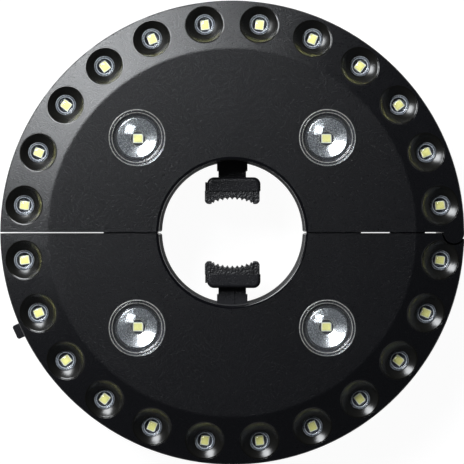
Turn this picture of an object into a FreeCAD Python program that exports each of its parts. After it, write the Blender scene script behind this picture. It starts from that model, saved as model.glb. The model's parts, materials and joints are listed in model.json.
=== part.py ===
"""Clamp-on light for the pole of a patio umbrella.

Two half rings are hinged in their own plane and close round the pole.  The lit face looks
along +Z, the back rests on z = 0 and the pole's axis is the Z axis.  The hinge is at +X.
Every half is drawn as the upper one; the lower half is the same half turned by 180 degrees.
"""
import FreeCAD
import Part
import Sketcher
import math
import os

# Driving sizes in millimetres and degrees.
SIZES = {
    # housing
    "outer_radius": 97.5,
    "hole_radius": 30.5,
    "bevel_run": 20.5,
    "face_height": 36.0,
    "rim_height": 30.0,
    "parting_height": 18.0,
    "chamfer_run": 6.5,
    "rear_chamfer": 8.0,
    "wall": 2.0,
    "seam_gap": 0.5,
    "bevel_round": 4.0,
    "edge_round": 0.8,
    "corner_round": 1.0,
    "piece_gap": 0.1,
    # ring LEDs and their bowls
    "led_pitch": 15.0,
    "led_inset": 9.3,
    "bowl_offset": 0.4,
    "bowl_rim_round": 0.5,
    "bowl_rim_radius": 7.9,
    "bowl_ball_radius": 9.6,
    "bowl_wall": 1.3,
    "ring_lens_radius": 4.25,
    "ring_lens_rise": 2.1,
    "ring_lens_dome": 1.0,
    "ring_lens_skin": 0.9,
    "ring_lens_cap": 1.4,
    "ring_lens_flange": 0.9,
    "led_length": 4.3,
    "led_width": 3.8,
    "led_thickness": 1.1,
    "phosphor_margin": 0.22,
    "phosphor_thickness": 0.2,
    # spot LEDs
    "spot_radius": 56.1,
    "spot_angle": 45.0,
    "spot_lens_radius": 11.8,
    "spot_dome_radius": 10.5,
    "spot_dome_rise": 3.3,
    "spot_lens_lip": 0.4,
    "spot_lens_wall": 1.6,
    "spot_lens_skirt": 2.6,
    "spot_lens_flange": 1.2,
    "spot_lens_flange_height": 0.9,
    "cup_radius": 7.7,
    "cup_foot_radius": 3.4,
    "cup_depth": 3.4,
    "cup_curve": 11.0,
    "cup_skin": 0.7,
    "cup_flange": 1.2,
    # boards
    "board_thickness": 1.6,
    "board_top": 26.4,
    "board_inner_radius": 46.0,
    "board_outer_margin": 3.8,
    "board_seam_margin": 3.2,
    "board_clearance": 0.4,
    # hinge
    "hinge_inset": 4.5,
    "knuckle_radius": 4.5,
    "notch_clearance": 0.65,
    "knuckle_low": 10.0,
    "knuckle_high": 24.0,
    "knuckle_gap": 0.2,
    "pin_radius": 1.5,
    "pin_foot": 1.0,
    "pin_length": 28.0,
    # sprung pole pads
    "pad_tip": 12.2,
    "pad_back": 17.65,
    "pad_arc_radius": 22.6,
    "pad_arc_middle": 14.2,
    "rubber_half_width": 11.57,
    "rubber_height": 17.0,
    "lobe_round": 1.5,
    "lobe_inner_round": 0.5,
    "tooth_pitch": 5.2,
    "tooth_depth": 1.0,
    "tooth_half_width": 0.85,
    "tab_thickness": 0.82,
    "tab_length": 3.9,
    "tab_height": 6.5,
    "holder_half_width": 11.3,
    "holder_shift": 0.65,
    "holder_depth": 5.75,
    "holder_height": 18.0,
    "holder_round": 3.0,
    "holder_edge_round": 1.5,
    "neck_half_width": 5.85,
    "neck_length": 2.8,
    "stem_half_width": 6.45,
    "stem_length": 16.8,
    "stem_height": 9.6,
    "rib_half_width": 0.9,
    "rib_height": 0.35,
    "stem_level": 17.8,
    "guide_clearance": 0.1,
    "guide_wall": 1.3,
    "guide_floor": 1.4,
    "guide_roof": 1.2,
    "guide_end": 50.0,
    "spring_pocket_depth": 7.0,
    "spring_pocket_radius": 4.0,
    "spring_radius": 3.2,
    "spring_wire": 0.7,
    # battery bay in each half
    "cell_radius": 7.2,
    "cell_length": 49.5,
    "cell_nub_radius": 2.75,
    "cell_nub_length": 1.0,
    "cell_spacing": 15.0,
    "bay_inner_edge": 52.9,
    "bay_half_length": 29.0,
    "bay_wall": 1.5,
    "bay_height": 14.0,
    "door_thickness": 2.2,
    "door_lip": 1.1,
    "door_clearance": 0.2,
    "door_proud": 2.0,
    "grip_pitch": 2.4,
    "grip_width": 1.0,
    "grip_depth": 0.6,
    "grip_half_length": 9.0,
    "grip_inset": 12.0,
    "rail_clearance": 0.1,
    "rail_width": 1.2,
    "contact_thickness": 0.5,
    "contact_width": 12.0,
    "contact_height": 9.0,
    "cell_spring_radius": 3.0,
    "cell_spring_wire": 0.6,
    # swing-out hooks
    "hook_place_x": 38.5,
    "hook_place_y": 27.0,
    "hook_level": 2.3,
    "hook_reach": 25.5,
    "hook_bend_radius": 4.3,
    "hook_wire_radius": 1.4,
    "hook_bar_radius": 1.5,
    "hook_tip": 6.0,
    "hook_bar_end": 1.3,
    "hook_recess_depth": 6.0,
    "hook_recess_margin": 1.9,
    "hook_room": 0.6,
    "hook_finger_room": 1.8,
    # button
    "button_angle": 24.8,
    "button_half_width": 3.1,
    "button_height": 8.0,
    "button_foot": 9.0,
    "button_proud": 4.6,
    "button_flange": 1.5,
    "button_flange_edge": 1.5,
    "button_play": 0.35,
    "button_round": 1.0,
    "button_travel": 1.2,
    "control_board_half": 9.0,
    "control_board_drop": 1.0,
    "board_post": 1.7,
    "board_post_width": 3.0,
    "board_post_height": 12.0,
    "switch_size": 6.0,
    "switch_height": 3.6,
    "plunger_half": 1.5,
    "plunger_root": 0.5,
    "plunger_reach": 1.9,
    # fasteners and boss radii
    "screw_radius": 1.25,
    "screw_head_radius": 2.5,
    "screw_head_height": 1.8,
    "screw_seat": 5.0,
    "screw_length": 17.0,
    "boss_radius": 4.3,
    "pillar_radius": 3.2,
    "board_screw_radius": 1.0,
    "board_screw_length": 5.5,
    "board_pillar_radius": 2.2,
    "board_screw_head_radius": 2.1,
    "board_screw_head_height": 1.4,
    "screw_bite": 0.05,
    "screw_play": 0.25,
    "screw_head_play": 0.3,
    # seam
    "slot_inset": 1.0,
    "slot_length": 23.8,
    "slot_low": 7.0,
    "slot_height": 9.0,
    "tongue_clearance": 0.3,
    "tongue_reach": 2.6,
    "tongue_round": 0.6,
    "clip_foot": 1.5,
    "clip_foot_thickness": 1.7,
    "lead_inset": 18.1,
    "lead_level": 14.0,
    "lead_width": 15.2,
    "lead_thickness": 1.8,
    "lead_room": 0.6,
    "lead_reach": 11.0,
    "lead_bend": 4.0,
}

# Places of the case screws and board screws in the upper half: x, y.
CASE_SCREWS = ((60.0, 11.5), (41.0, 67.0), (14.5, 38.0))
BOARD_SCREWS = ((28.0, 62.0), (68.0, 32.0))

doc = FreeCAD.newDocument("umbrella_light")
sheet = doc.addObject("Spreadsheet::Sheet", "sizes")
for row, (alias, amount) in enumerate(SIZES.items(), start=1):
    sheet.set(f"A{row}", str(amount))
    sheet.setAlias(f"A{row}", alias)
doc.recompute()


class Size:
    """A length or angle that keeps both its number and its expression in the sheet."""

    def __init__(self, number, text):
        self.number = number
        self.text = text

    def __add__(self, other):
        other = as_size(other)
        return Size(self.number + other.number, f"({self.text} + {other.text})")

    def __radd__(self, other):
        return as_size(other) + self

    def __sub__(self, other):
        other = as_size(other)
        return Size(self.number - other.number, f"({self.text} - {other.text})")

    def __rsub__(self, other):
        return as_size(other) - self

    def __mul__(self, other):
        other = as_size(other)
        return Size(self.number * other.number, f"({self.text} * {other.text})")

    def __rmul__(self, other):
        return as_size(other) * self

    def __truediv__(self, other):
        other = as_size(other)
        return Size(self.number / other.number, f"({self.text} / {other.text})")

    def __neg__(self):
        return Size(-self.number, f"(0 - {self.text})")


def as_size(amount):
    if isinstance(amount, Size):
        return amount
    return Size(float(amount), f"{float(amount):.6f}")


def size(alias):
    return Size(float(sheet.get(alias)), "sizes." + alias)


def root(amount):
    return Size(math.sqrt(amount.number), f"sqrt({amount.text})")


def cosine(angle):
    angle = as_size(angle)
    return Size(math.cos(math.radians(angle.number)), f"cos({angle.text} * 1 deg)")


def sine(angle):
    angle = as_size(angle)
    return Size(math.sin(math.radians(angle.number)), f"sin({angle.text} * 1 deg)")


# Sizes by name.
outer_radius = size("outer_radius")
hole_radius = size("hole_radius")
bevel_run = size("bevel_run")
flat_radius = outer_radius - bevel_run
face_height = size("face_height")
rim_height = size("rim_height")
parting = size("parting_height")
chamfer_run = size("chamfer_run")
rear_radius = outer_radius - chamfer_run
rear_chamfer = size("rear_chamfer")
wall = size("wall")
seam_half = size("seam_gap") / 2
seam_inside = seam_half + wall
piece_gap = size("piece_gap")
led_pitch = size("led_pitch")
led_radius = outer_radius - size("led_inset")
board_top = size("board_top")
board_foot = board_top - size("board_thickness")
hinge_distance = outer_radius - size("hinge_inset")
knuckle_radius = size("knuckle_radius")
notch_radius = knuckle_radius + size("notch_clearance")
knuckle_low = size("knuckle_low")
knuckle_high = size("knuckle_high")
knuckle_gap = size("knuckle_gap")
stem_half_width = size("stem_half_width")
stem_level = size("stem_level")
stem_half_height = size("stem_height") / 2
guide_clearance = size("guide_clearance")
channel_low = stem_level - stem_half_height - guide_clearance
channel_high = stem_level + stem_half_height + size("rib_height") + guide_clearance
door_top = size("door_thickness")
bay_inner_edge = size("bay_inner_edge")
bay_half_length = size("bay_half_length")
bay_end_wall = size("bay_wall") * 2
rail_reach = bay_half_length + size("rail_width")
cell_level = door_top + size("door_clearance") * 2 + size("cell_radius")
inner_cell_place = bay_inner_edge + size("door_clearance") * 2 + size("cell_radius")
outer_cell_place = inner_cell_place + size("cell_spacing")
bay_outer_edge = outer_cell_place + size("cell_radius") + size("door_clearance") * 2
stem_end = (size("pad_back") + size("holder_depth") + size("neck_length")
            + size("stem_length"))
lead_place = hinge_distance - size("lead_inset")
slot_start = hole_radius + size("slot_inset")
slot_end = slot_start + size("slot_length")
LED_COUNT = 12
SPRING_TURNS = 8
CELL_SPRING_TURNS = 3
SPRING_SEAT = 0.3
TEETH_EACH_SIDE = 4
PIN_PRESS = 0.02
PIN_PLAY = 0.07
DOOR_GRIPS = 5
# How far a cut runs past the face that it opens, so that no face is shared.
OVER = as_size(1.0)
FAR = as_size(20.0)

bevel_drop = face_height - rim_height
bevel_length = root(bevel_drop * bevel_drop + bevel_run * bevel_run)
chamfer_length = root(rear_chamfer * rear_chamfer + chamfer_run * chamfer_run)

# Bowls: balls sunk into the bevel along its normal.
bowl_place = led_radius - size("bowl_offset")
bowl_lift = root(size("bowl_ball_radius") * size("bowl_ball_radius")
                 - size("bowl_rim_radius") * size("bowl_rim_radius"))
bowl_ball_place = bowl_place + bowl_lift * bevel_drop / bevel_length
bowl_ball_level = (face_height - (bowl_place - flat_radius) * bevel_drop / bevel_run
                   + bowl_lift * bevel_run / bevel_length)
bowl_boss_radius = size("bowl_rim_radius") + size("bowl_wall")
bowl_boss_foot = bowl_ball_level - size("bowl_ball_radius") - size("bowl_wall")


class Half:
    """One half ring: its name, the sign of x at its hinge and its turn about the pole."""

    def __init__(self, name, side, turn):
        self.name = name
        self.side = side
        self.turn = turn


UPPER = Half("upper", 1, 0)
LOWER = Half("lower", -1, 180)
pieces = []


def bind(thing, path, amount):
    """Ties a property to the sheet, or sets it where it is a plain number."""
    thing.setExpression(path, as_size(amount).text)


def new_body(name, half=None, compound=False):
    """A body; with a half it is a piece of the light, without one it serves a boolean."""
    body = doc.addObject("PartDesign::Body", name)
    body.AllowCompound = compound
    if half:
        finish(body, half)
    return body


def finish(thing, half):
    """Names a piece by its object's name and turns it to its half."""
    thing.Label = thing.Name
    thing.Placement = FreeCAD.Placement(FreeCAD.Vector(), half_rotation(half))
    pieces.append(thing)


def half_rotation(half):
    return FreeCAD.Rotation(FreeCAD.Vector(0, 0, 1), half.turn)


def plane(body, role):
    return next(item for item in body.Origin.OriginFeatures if item.Role == role)


def attach(feature, body, role, offset, rotation=None):
    feature.AttachmentSupport = [(plane(body, role), "")]
    feature.MapMode = "FlatFace"
    feature.AttachmentOffset = FreeCAD.Placement(FreeCAD.Vector(), rotation or FreeCAD.Rotation())
    for axis, amount in zip("xyz", offset):
        bind(feature, "AttachmentOffset.Base." + axis, amount)


def new_sketch(body, role="XY_Plane", offset=(0, 0, 0)):
    sketch = body.newObject("Sketcher::SketchObject", body.Label + "_sketch")
    attach(sketch, body, role, offset)
    return sketch


def hold(sketch, kind, geometry, place, amount):
    """Constrains one coordinate of a point from the sketch's origin."""
    amount = as_size(amount)
    if amount.text == "0.000000":
        axis = -2 if kind == "DistanceX" else -1
        sketch.addConstraint(Sketcher.Constraint("PointOnObject", geometry, place, axis))
        return
    index = sketch.addConstraint(
        Sketcher.Constraint(kind, -1, 1, geometry, place, amount.number))
    sketch.setExpression(f"Constraints[{index}]", amount.text)


def arc_edge(start, end, radius, side):
    """The arc of a given radius that bulges to the right (1) or left (-1) of its chord."""
    chord = end - start
    half = chord.Length / 2
    sagitta = radius - math.sqrt(radius * radius - half * half)
    across = FreeCAD.Vector(chord.y, -chord.x, 0) / chord.Length * sagitta * side
    return Part.Arc(start, (start + end) / 2 + across, end)


def outline(sketch, points):
    """Closed outline of points (x, y), or (x, y, radius, side) where an arc leads on."""
    count = len(points)
    first = sketch.GeometryCount
    spots = [FreeCAD.Vector(as_size(p[0]).number, as_size(p[1]).number, 0) for p in points]
    ends = []
    for index, point in enumerate(points):
        start, end = spots[index], spots[(index + 1) % count]
        if len(point) == 2:
            sketch.addGeometry(Part.LineSegment(start, end), False)
            ends.append((1, 2))
            continue
        arc = arc_edge(start, end, as_size(point[2]).number, point[3])
        place = sketch.addGeometry(arc, False)
        radius = sketch.addConstraint(
            Sketcher.Constraint("Radius", place, as_size(point[2]).number))
        sketch.setExpression(f"Constraints[{radius}]", as_size(point[2]).text)
        ahead = sketch.getPoint(place, 1).distanceToPoint(start) < 1e-6
        ends.append((1, 2) if ahead else (2, 1))
    for index in range(count):
        following = (index + 1) % count
        sketch.addConstraint(Sketcher.Constraint(
            "Coincident", first + index, ends[index][1], first + following, ends[following][0]))
    for index, point in enumerate(points):
        hold(sketch, "DistanceX", first + index, ends[index][0], point[0])
        hold(sketch, "DistanceY", first + index, ends[index][0], point[1])


def spin(body, sketch, cut=False, angle=360):
    """Revolves a sketch about its own vertical axis, as material or as a cut."""
    kind = "PartDesign::Groove" if cut else "PartDesign::Revolution"
    feature = body.newObject(kind, body.Label + "_spin")
    feature.Profile = sketch
    feature.ReferenceAxis = (sketch, ["V_Axis"])
    feature.Angle = angle
    return feature


def pad(body, sketch, length, reverse=False):
    feature = body.newObject("PartDesign::Pad", body.Label + "_pad")
    feature.Profile = sketch
    bind(feature, "Length", length)
    feature.Reversed = reverse
    return feature


def pocket(body, sketch, length, reverse=False):
    feature = body.newObject("PartDesign::Pocket", body.Label + "_pocket")
    feature.Profile = sketch
    bind(feature, "Length", length)
    feature.Reversed = reverse
    return feature


TURNS = {
    "x": FreeCAD.Rotation(FreeCAD.Vector(0, 1, 0), 90),
    "y": FreeCAD.Rotation(FreeCAD.Vector(1, 0, 0), -90),
    "z": FreeCAD.Rotation(),
}


def rod(body, start, radius, length, axis="z", cut=False):
    """A round bar or hole from its start point along an axis."""
    kind = "SubtractiveCylinder" if cut else "AdditiveCylinder"
    feature = body.newObject("PartDesign::" + kind, body.Label + "_rod")
    attach(feature, body, "XY_Plane", start, TURNS[axis])
    bind(feature, "Radius", radius)
    bind(feature, "Height", length)
    return feature


def block(body, low, high, turn=0, cut=False):
    """A block or a cut between two corners, turned about the pole by an angle."""
    kind = "SubtractiveBox" if cut else "AdditiveBox"
    feature = body.newObject("PartDesign::" + kind, body.Label + "_block")
    turn = as_size(turn)
    attach(feature, body, "XY_Plane", turned(low, turn), about_pole(turn))
    if turn.number:
        bind(feature, "AttachmentOffset.Rotation.Angle", turn)
    for name, near, far in zip(("Length", "Width", "Height"), low, high):
        bind(feature, name, as_size(far) - near)
    return feature


def about_pole(turn):
    return FreeCAD.Rotation(FreeCAD.Vector(0, 0, 1), turn.number)


def turned(place, turn):
    """A place turned about the pole's axis."""
    return (place[0] * cosine(turn) - place[1] * sine(turn),
            place[0] * sine(turn) + place[1] * cosine(turn), place[2])


def primitive(kind, place, rotation, **amounts):
    """A Part primitive whose sizes and place are tied to the sheet."""
    thing = doc.addObject(kind, "primitive")
    thing.Placement = FreeCAD.Placement(FreeCAD.Vector(), rotation)
    for axis, amount in zip("xyz", place):
        bind(thing, "Placement.Base." + axis, amount)
    for name, amount in amounts.items():
        bind(thing, name, amount)
    return thing


def cylinder(start, radius, length, axis="z"):
    return primitive("Part::Cylinder", start, TURNS[axis], Radius=radius, Height=length)


def box(low, high, turn=0):
    """A block between two corners, turned about the pole by an angle."""
    turn = as_size(turn)
    thing = primitive("Part::Box", turned(low, turn), about_pole(turn),
                      Length=as_size(high[0]) - low[0], Width=as_size(high[1]) - low[1],
                      Height=as_size(high[2]) - low[2])
    if turn.number:
        bind(thing, "Placement.Rotation.Angle", turn)
    return thing


def fuse(name, parts):
    if len(parts) == 1:
        return parts[0]
    thing = doc.addObject("Part::MultiFuse", name)
    thing.Shapes = parts
    thing.Refine = False
    return thing


def cut(name, base, tools):
    thing = doc.addObject("Part::Cut", name)
    thing.Base = base
    thing.Tool = fuse(name + "_tools", tools)
    thing.Refine = False
    return thing


def common(name, base, limits):
    thing = doc.addObject("Part::Common", name)
    thing.Base = base
    thing.Tool = limits
    thing.Refine = False
    return thing


def round_ring(body, radius, places):
    """Rounds the circular edges that lie at the given (radius, height) places."""
    doc.recompute()
    base = body.Tip
    wanted = [(as_size(r).number, as_size(z).number) for r, z in places]
    names = []
    for index, edge in enumerate(base.Shape.Edges, start=1):
        if edge.Curve.TypeId != "Part::GeomCircle":
            continue
        for ring, height in wanted:
            level = abs(edge.Curve.Center.z - height) < 1e-4
            if level and abs(edge.Curve.Radius - ring) < 1e-4:
                names.append(f"Edge{index}")
    fillet(body, base, names, radius)


def round_upright(body, radius, places):
    """Rounds the edges parallel to Z that stand at the given (x, y) places."""
    doc.recompute()
    base = body.Tip
    wanted = [(as_size(x).number, as_size(y).number) for x, y in places]
    names = []
    for index, edge in enumerate(base.Shape.Edges, start=1):
        low, high = edge.BoundBox.ZMin, edge.BoundBox.ZMax
        middle = edge.BoundBox.Center
        if high - low < 1 or edge.BoundBox.XLength + edge.BoundBox.YLength > 1e-4:
            continue
        if any(abs(middle.x - x) + abs(middle.y - y) < 1e-3 for x, y in wanted):
            names.append(f"Edge{index}")
    fillet(body, base, names, radius)


def round_level(body, radius, heights, beyond=None):
    """Rounds the edges that lie flat at the given heights, or those that reach beyond a y."""
    doc.recompute()
    base = body.Tip
    wanted = [as_size(height).number for height in heights]
    names = []
    for index, edge in enumerate(base.Shape.Edges, start=1):
        extent = edge.BoundBox
        if extent.ZLength > 1e-4 or (beyond and extent.YMax < beyond.number + 1e-3):
            continue
        if any(abs(extent.ZMin - height) < 1e-4 for height in wanted):
            names.append(f"Edge{index}")
    fillet(body, base, names, radius)


def fillet(body, base, names, radius):
    if not names:
        raise RuntimeError(f"{body.Label}: no edge to round")
    feature = body.newObject("PartDesign::Fillet", body.Label + "_round")
    feature.Base = (base, names)
    bind(feature, "Radius", radius)
    doc.recompute()


def repeat_round_pole(body, features, count=LED_COUNT, pitch=led_pitch):
    """Repeats features round the pole's axis at a steady pitch."""
    doc.recompute()
    pattern = body.newObject("PartDesign::PolarPattern", body.Label + "_ring")
    pattern.Originals = features
    pattern.Axis = (plane(body, "Z_Axis"), [""])
    bind(pattern, "Angle", pitch * (count - 1))
    pattern.Occurrences = count
    body.Tip = pattern
    doc.recompute()
    return pattern


def on_ring(radius, angle):
    return radius * cosine(angle), radius * sine(angle)


def ring_angles():
    """Angles of the ring LEDs of one half."""
    return [led_pitch * (step + 0.5) for step in range(LED_COUNT)]


def spot_angles():
    return size("spot_angle"), 180 - size("spot_angle")


def mirrored(points):
    return [(-as_size(x), y) for x, y in points]


def both_sides(places):
    return [(x * sign, y) for x, y in places for sign in (1, -1)]


# ---------------------------------------------------------------- housings

def front_section(inset):
    """Half section of the front shell, moved inwards by an inset."""
    corner = flat_radius - inset * (bevel_length - bevel_run) / bevel_drop
    rim = rim_height + inset * (bevel_drop - bevel_length) / bevel_run
    return [(hole_radius + inset, parting), (hole_radius + inset, face_height - inset),
            (corner, face_height - inset), (outer_radius - inset, rim),
            (outer_radius - inset, parting)]


def rear_section(inset):
    """Half section of the rear shell, moved inwards by an inset."""
    corner = rear_radius + inset * (chamfer_run - chamfer_length) / rear_chamfer
    bend = rear_chamfer + inset * (chamfer_length - rear_chamfer) / chamfer_run
    return [(hole_radius + inset, inset), (corner, inset), (outer_radius - inset, bend),
            (outer_radius - inset, parting), (hole_radius + inset, parting)]


def shell(name, section, rounds):
    """Half ring with rounded rims, hollowed, and closed at the seam by end walls."""
    body = new_body(name)
    sketch = new_sketch(body, "XZ_Plane")
    outline(sketch, section(as_size(0)))
    spin(body, sketch, angle=180)
    for radius, places in rounds:
        round_ring(body, radius, places)
    hollow = new_sketch(body, "XZ_Plane")
    outline(hollow, section(wall))
    spin(body, hollow, cut=True)
    for points in (section(wall / 2), mirrored(section(wall / 2))):
        end = new_sketch(body, "XZ_Plane")
        outline(end, points)
        pad(body, end, wall + seam_half, reverse=True)
    return body


def envelope(name, section):
    """Whole ring with sharp rims, to which the pieces inside the shell are trimmed."""
    body = new_body(name)
    sketch = new_sketch(body, "XZ_Plane")
    outline(sketch, section(as_size(0)))
    spin(body, sketch)
    return body


def seam_space(low, high):
    """All that lies on the other half's side of the seam."""
    reach = outer_radius + FAR
    return box((-reach, -FAR, low), (reach, seam_half, high))


def seam_corners(low, high):
    """Cutters that round each half's upright corners between the seam and the hole."""
    radius = size("corner_round")
    middle = seam_half + radius
    edge = root(hole_radius * hole_radius - middle * middle)
    cutters = []
    for sign in (1, -1):
        centre = (edge + radius) * sign
        near, far = ((edge - OVER, centre) if sign > 0 else (centre, OVER - edge))
        cutters.append(cut("corner", box((near, seam_half - OVER, low), (far, middle, high)),
                           [cylinder((centre, middle, low - OVER), radius,
                                     high - low + OVER * 2)]))
    return cutters


def hinge_pieces(half, notch, own, boss, limits):
    """Wall round the other half's knuckle, the space for that knuckle, and this half's own."""
    hinge_x = hinge_distance * half.side
    return (cylinder((hinge_x, 0, boss[0]), notch_radius + wall, boss[1] - boss[0]),
            cylinder((hinge_x, 0, notch[0]), notch_radius, notch[1] - notch[0]),
            common("knuckle", cylinder((hinge_x, 0, own[0]), knuckle_radius, own[1] - own[0]),
                   limits))


def pin_hole(half, low, high):
    """The pin is pressed into the upper half and turns in the lower one."""
    clearance = PIN_PRESS if half is UPPER else PIN_PLAY
    return cylinder((hinge_distance * half.side, 0, low), size("pin_radius") + clearance,
                    high - low)


def front_housing(half):
    edge_round = size("edge_round")
    base = shell("front_shell", front_section, [
        (size("bevel_round"), [(flat_radius, face_height)]),
        (edge_round, [(hole_radius, face_height), (outer_radius, rim_height)])])
    limits = envelope("front_envelope", front_section)
    above = knuckle_high + knuckle_gap / 2
    if half is UPPER:
        notch, own = (parting - OVER, above), (knuckle_high + knuckle_gap, face_height)
        boss = (parting, above + wall)
    else:
        notch, own = (above, face_height + OVER), (parting, knuckle_high)
        boss = (above - wall, face_height)
    hinge_wall, hinge_notch, knuckle = hinge_pieces(half, notch, own, boss, limits)

    bosses = [hinge_wall]
    for angle in ring_angles():
        x, y = on_ring(led_radius, angle)
        bosses.append(cylinder((x, y, bowl_boss_foot), bowl_boss_radius,
                               face_height - bowl_boss_foot))
    for x, y in both_sides(CASE_SCREWS):
        bosses.append(cylinder((x, y, parting), size("pillar_radius"),
                               face_height - parting - wall / 2))
    for x, y in both_sides(BOARD_SCREWS):
        bosses.append(cylinder((x, y, board_top), size("board_pillar_radius"),
                               face_height - board_top - wall / 2))
    filled = fuse("front_filled", [base, common("front_bosses", fuse("front_boss_set", bosses),
                                                limits)])
    opened = cut("front_opened", filled, [
        seam_space(parting - OVER, face_height + OVER), hinge_notch])
    joined = fuse("front_joined", [opened, knuckle])

    holes = seam_corners(parting - OVER, face_height + OVER)
    holes.append(pin_hole(half, parting - OVER,
                          size("pin_foot") + size("pin_length") + piece_gap))
    for angle in ring_angles():
        x, y = on_ring(bowl_ball_place, angle)
        holes.append(primitive("Part::Sphere", (x, y, bowl_ball_level), TURNS["z"],
                               Radius=size("bowl_ball_radius")))
        x, y = on_ring(led_radius, angle)
        holes.append(cylinder((x, y, bowl_boss_foot - OVER),
                              size("ring_lens_radius") + guide_clearance,
                              bowl_ball_level - bowl_boss_foot))
    for angle in spot_angles():
        x, y = on_ring(size("spot_radius"), angle)
        holes.append(cylinder((x, y, face_height - wall - OVER),
                              size("spot_lens_radius") + guide_clearance, wall + OVER * 2))
    for x, y in both_sides(CASE_SCREWS):
        holes.append(cylinder((x, y, parting - OVER), size("screw_radius") + size("screw_bite"),
                              size("screw_seat") + size("screw_length") - parting + OVER * 1.5))
    for x, y in both_sides(BOARD_SCREWS):
        holes.append(cylinder((x, y, board_top - OVER),
                              size("board_screw_radius") + size("screw_bite"),
                              size("board_screw_length")))
    holes.append(stem_window(parting - OVER, channel_high))
    body = new_body(half.name + "_front_housing", half)
    body.BaseFeature = cut("front_pierced", joined, holes)
    round_bowls(body)


def stem_window(low, high):
    """Opening in the hole's wall for the stem of the sprung pad."""
    side = stem_half_width + guide_clearance
    return box((-side, hole_radius - wall, low), (side, hole_radius + wall + OVER, high))


def round_bowls(body):
    """Rounds the rim of each bowl that the hinge's notch leaves whole."""
    doc.recompute()
    base = body.Tip
    names = []
    for index, edge in enumerate(base.Shape.Edges, start=1):
        kinds = {face.Surface.TypeId for face in base.Shape.ancestorsOfType(edge, Part.Face)}
        if kinds == {"Part::GeomCone", "Part::GeomSphere"} and edge.isClosed():
            names.append(f"Edge{index}")
    fillet(body, base, names, size("bowl_rim_round"))


def rear_housing(half):
    base = shell("rear_shell", rear_section, [
        (size("edge_round"), [(hole_radius, 0), (rear_radius, 0), (outer_radius, rear_chamfer)])])
    limits = envelope("rear_envelope", rear_section)
    below = knuckle_low - knuckle_gap / 2
    if half is UPPER:
        notch, own = (below, parting + OVER), (as_size(0), knuckle_low - knuckle_gap)
        boss = (below - wall, parting)
    else:
        notch, own = (-OVER, below), (knuckle_low, parting)
        boss = (as_size(0), below + wall)
    hinge_wall, hinge_notch, knuckle = hinge_pieces(half, notch, own, boss, limits)

    bosses = [hinge_wall, hook_box()] + bay_walls()
    for x, y in both_sides(CASE_SCREWS):
        bosses.append(cylinder((x, y, wall / 2), size("boss_radius"), parting - wall / 2))
    if half is LOWER:
        bosses += board_posts()
    filled = fuse("rear_filled", [base, common("rear_bosses", fuse("rear_boss_set", bosses),
                                               limits)])
    opened = cut("rear_opened", filled, [seam_space(-OVER, parting + OVER), hinge_notch])
    joined = fuse("rear_joined", [opened, knuckle] + ([seam_tongue()] if half is LOWER else []))

    holes = seam_corners(-OVER, parting + OVER)
    holes.append(pin_hole(half, size("pin_foot"), parting + OVER))
    for x, y in both_sides(CASE_SCREWS):
        holes.append(cylinder((x, y, -OVER), size("screw_head_radius") + size("screw_head_play"),
                              size("screw_seat") + OVER))
        holes.append(cylinder((x, y, -OVER), size("screw_radius") + size("screw_play"),
                              parting + OVER * 2))
    holes.append(stem_window(channel_low, parting + OVER))
    holes += seam_slots(half) + door_opening() + hook_recess()
    if half is LOWER:
        holes.append(button_slot())
    finish(cut(half.name + "_rear_housing", joined, holes), half)


def bay_walls():
    """Side, inner and outer walls that hold two cells side by side."""
    side = bay_half_length + bay_end_wall
    top = size("bay_height")
    low = wall / 2
    inner_face = bay_inner_edge - size("bay_wall")
    reach = root(outer_radius * outer_radius - side * side) - piece_gap * 2
    return [box((bay_half_length, inner_face, low), (side, reach, top)),
            box((-side, inner_face, low), (-bay_half_length, reach, top)),
            box((-side, inner_face, low), (side, bay_inner_edge, top)),
            box((-side, bay_outer_edge, low), (side, bay_outer_edge + size("bay_wall"), top))]


def door_opening():
    """Opening of the sliding door, with a lip on each side that carries its rails."""
    clear = size("door_clearance")
    reach = outer_radius + FAR
    return [box((-bay_half_length, bay_inner_edge, -OVER),
                (bay_half_length, reach, size("door_lip"))),
            box((-rail_reach - clear, bay_inner_edge, size("door_lip")),
                (rail_reach + clear, reach, door_top + clear))]


def hook_span():
    """The hook's recess: near and far x, and half its width."""
    room = size("hook_room")
    near = size("hook_place_x") - size("hook_bar_radius") - room
    far = (size("hook_place_x") + size("hook_reach") + size("hook_bend_radius")
           + size("hook_wire_radius") + size("hook_finger_room"))
    half_width = size("hook_bend_radius") + size("hook_wire_radius") + room
    return near, far, half_width


def hook_box():
    near, far, half_width = hook_span()
    margin = size("hook_recess_margin")
    y = size("hook_place_y")
    return box((near - margin, y - half_width - margin, wall / 2),
               (far + margin, y + half_width + margin, size("hook_recess_depth") + margin))


def hook_recess():
    near, far, half_width = hook_span()
    y = size("hook_place_y")
    bar_half = size("hook_bend_radius") + size("hook_wire_radius") + size("hook_bar_end")
    socket_half = bar_half + piece_gap * 2
    return [box((near, y - half_width, -OVER), (far, y + half_width, size("hook_recess_depth"))),
            cylinder((size("hook_place_x"), y - socket_half, size("hook_level")),
                     size("hook_bar_radius") + size("screw_bite"), socket_half * 2, "y")]


def seam_slots(half):
    """Slots in the seam wall for the snap tongue, the alignment tongue and the lead."""
    low, high = size("slot_low"), size("slot_low") + size("slot_height")
    latch = (-slot_end, -slot_start) if half is UPPER else (slot_start, slot_end)
    slots = [latch, (slot_start, slot_end)] if half is UPPER else [latch]
    holes = [box((near, -OVER, low), (far, seam_inside + OVER * 1.5, high))
             for near, far in slots]
    middle = lead_place * half.side
    half_width = size("lead_width") / 2 + size("lead_room")
    half_height = size("lead_thickness") / 2 + size("lead_room")
    holes.append(box((middle - half_width, -OVER, size("lead_level") - half_height),
                     (middle + half_width, seam_inside + OVER,
                      size("lead_level") + half_height)))
    return holes


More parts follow.
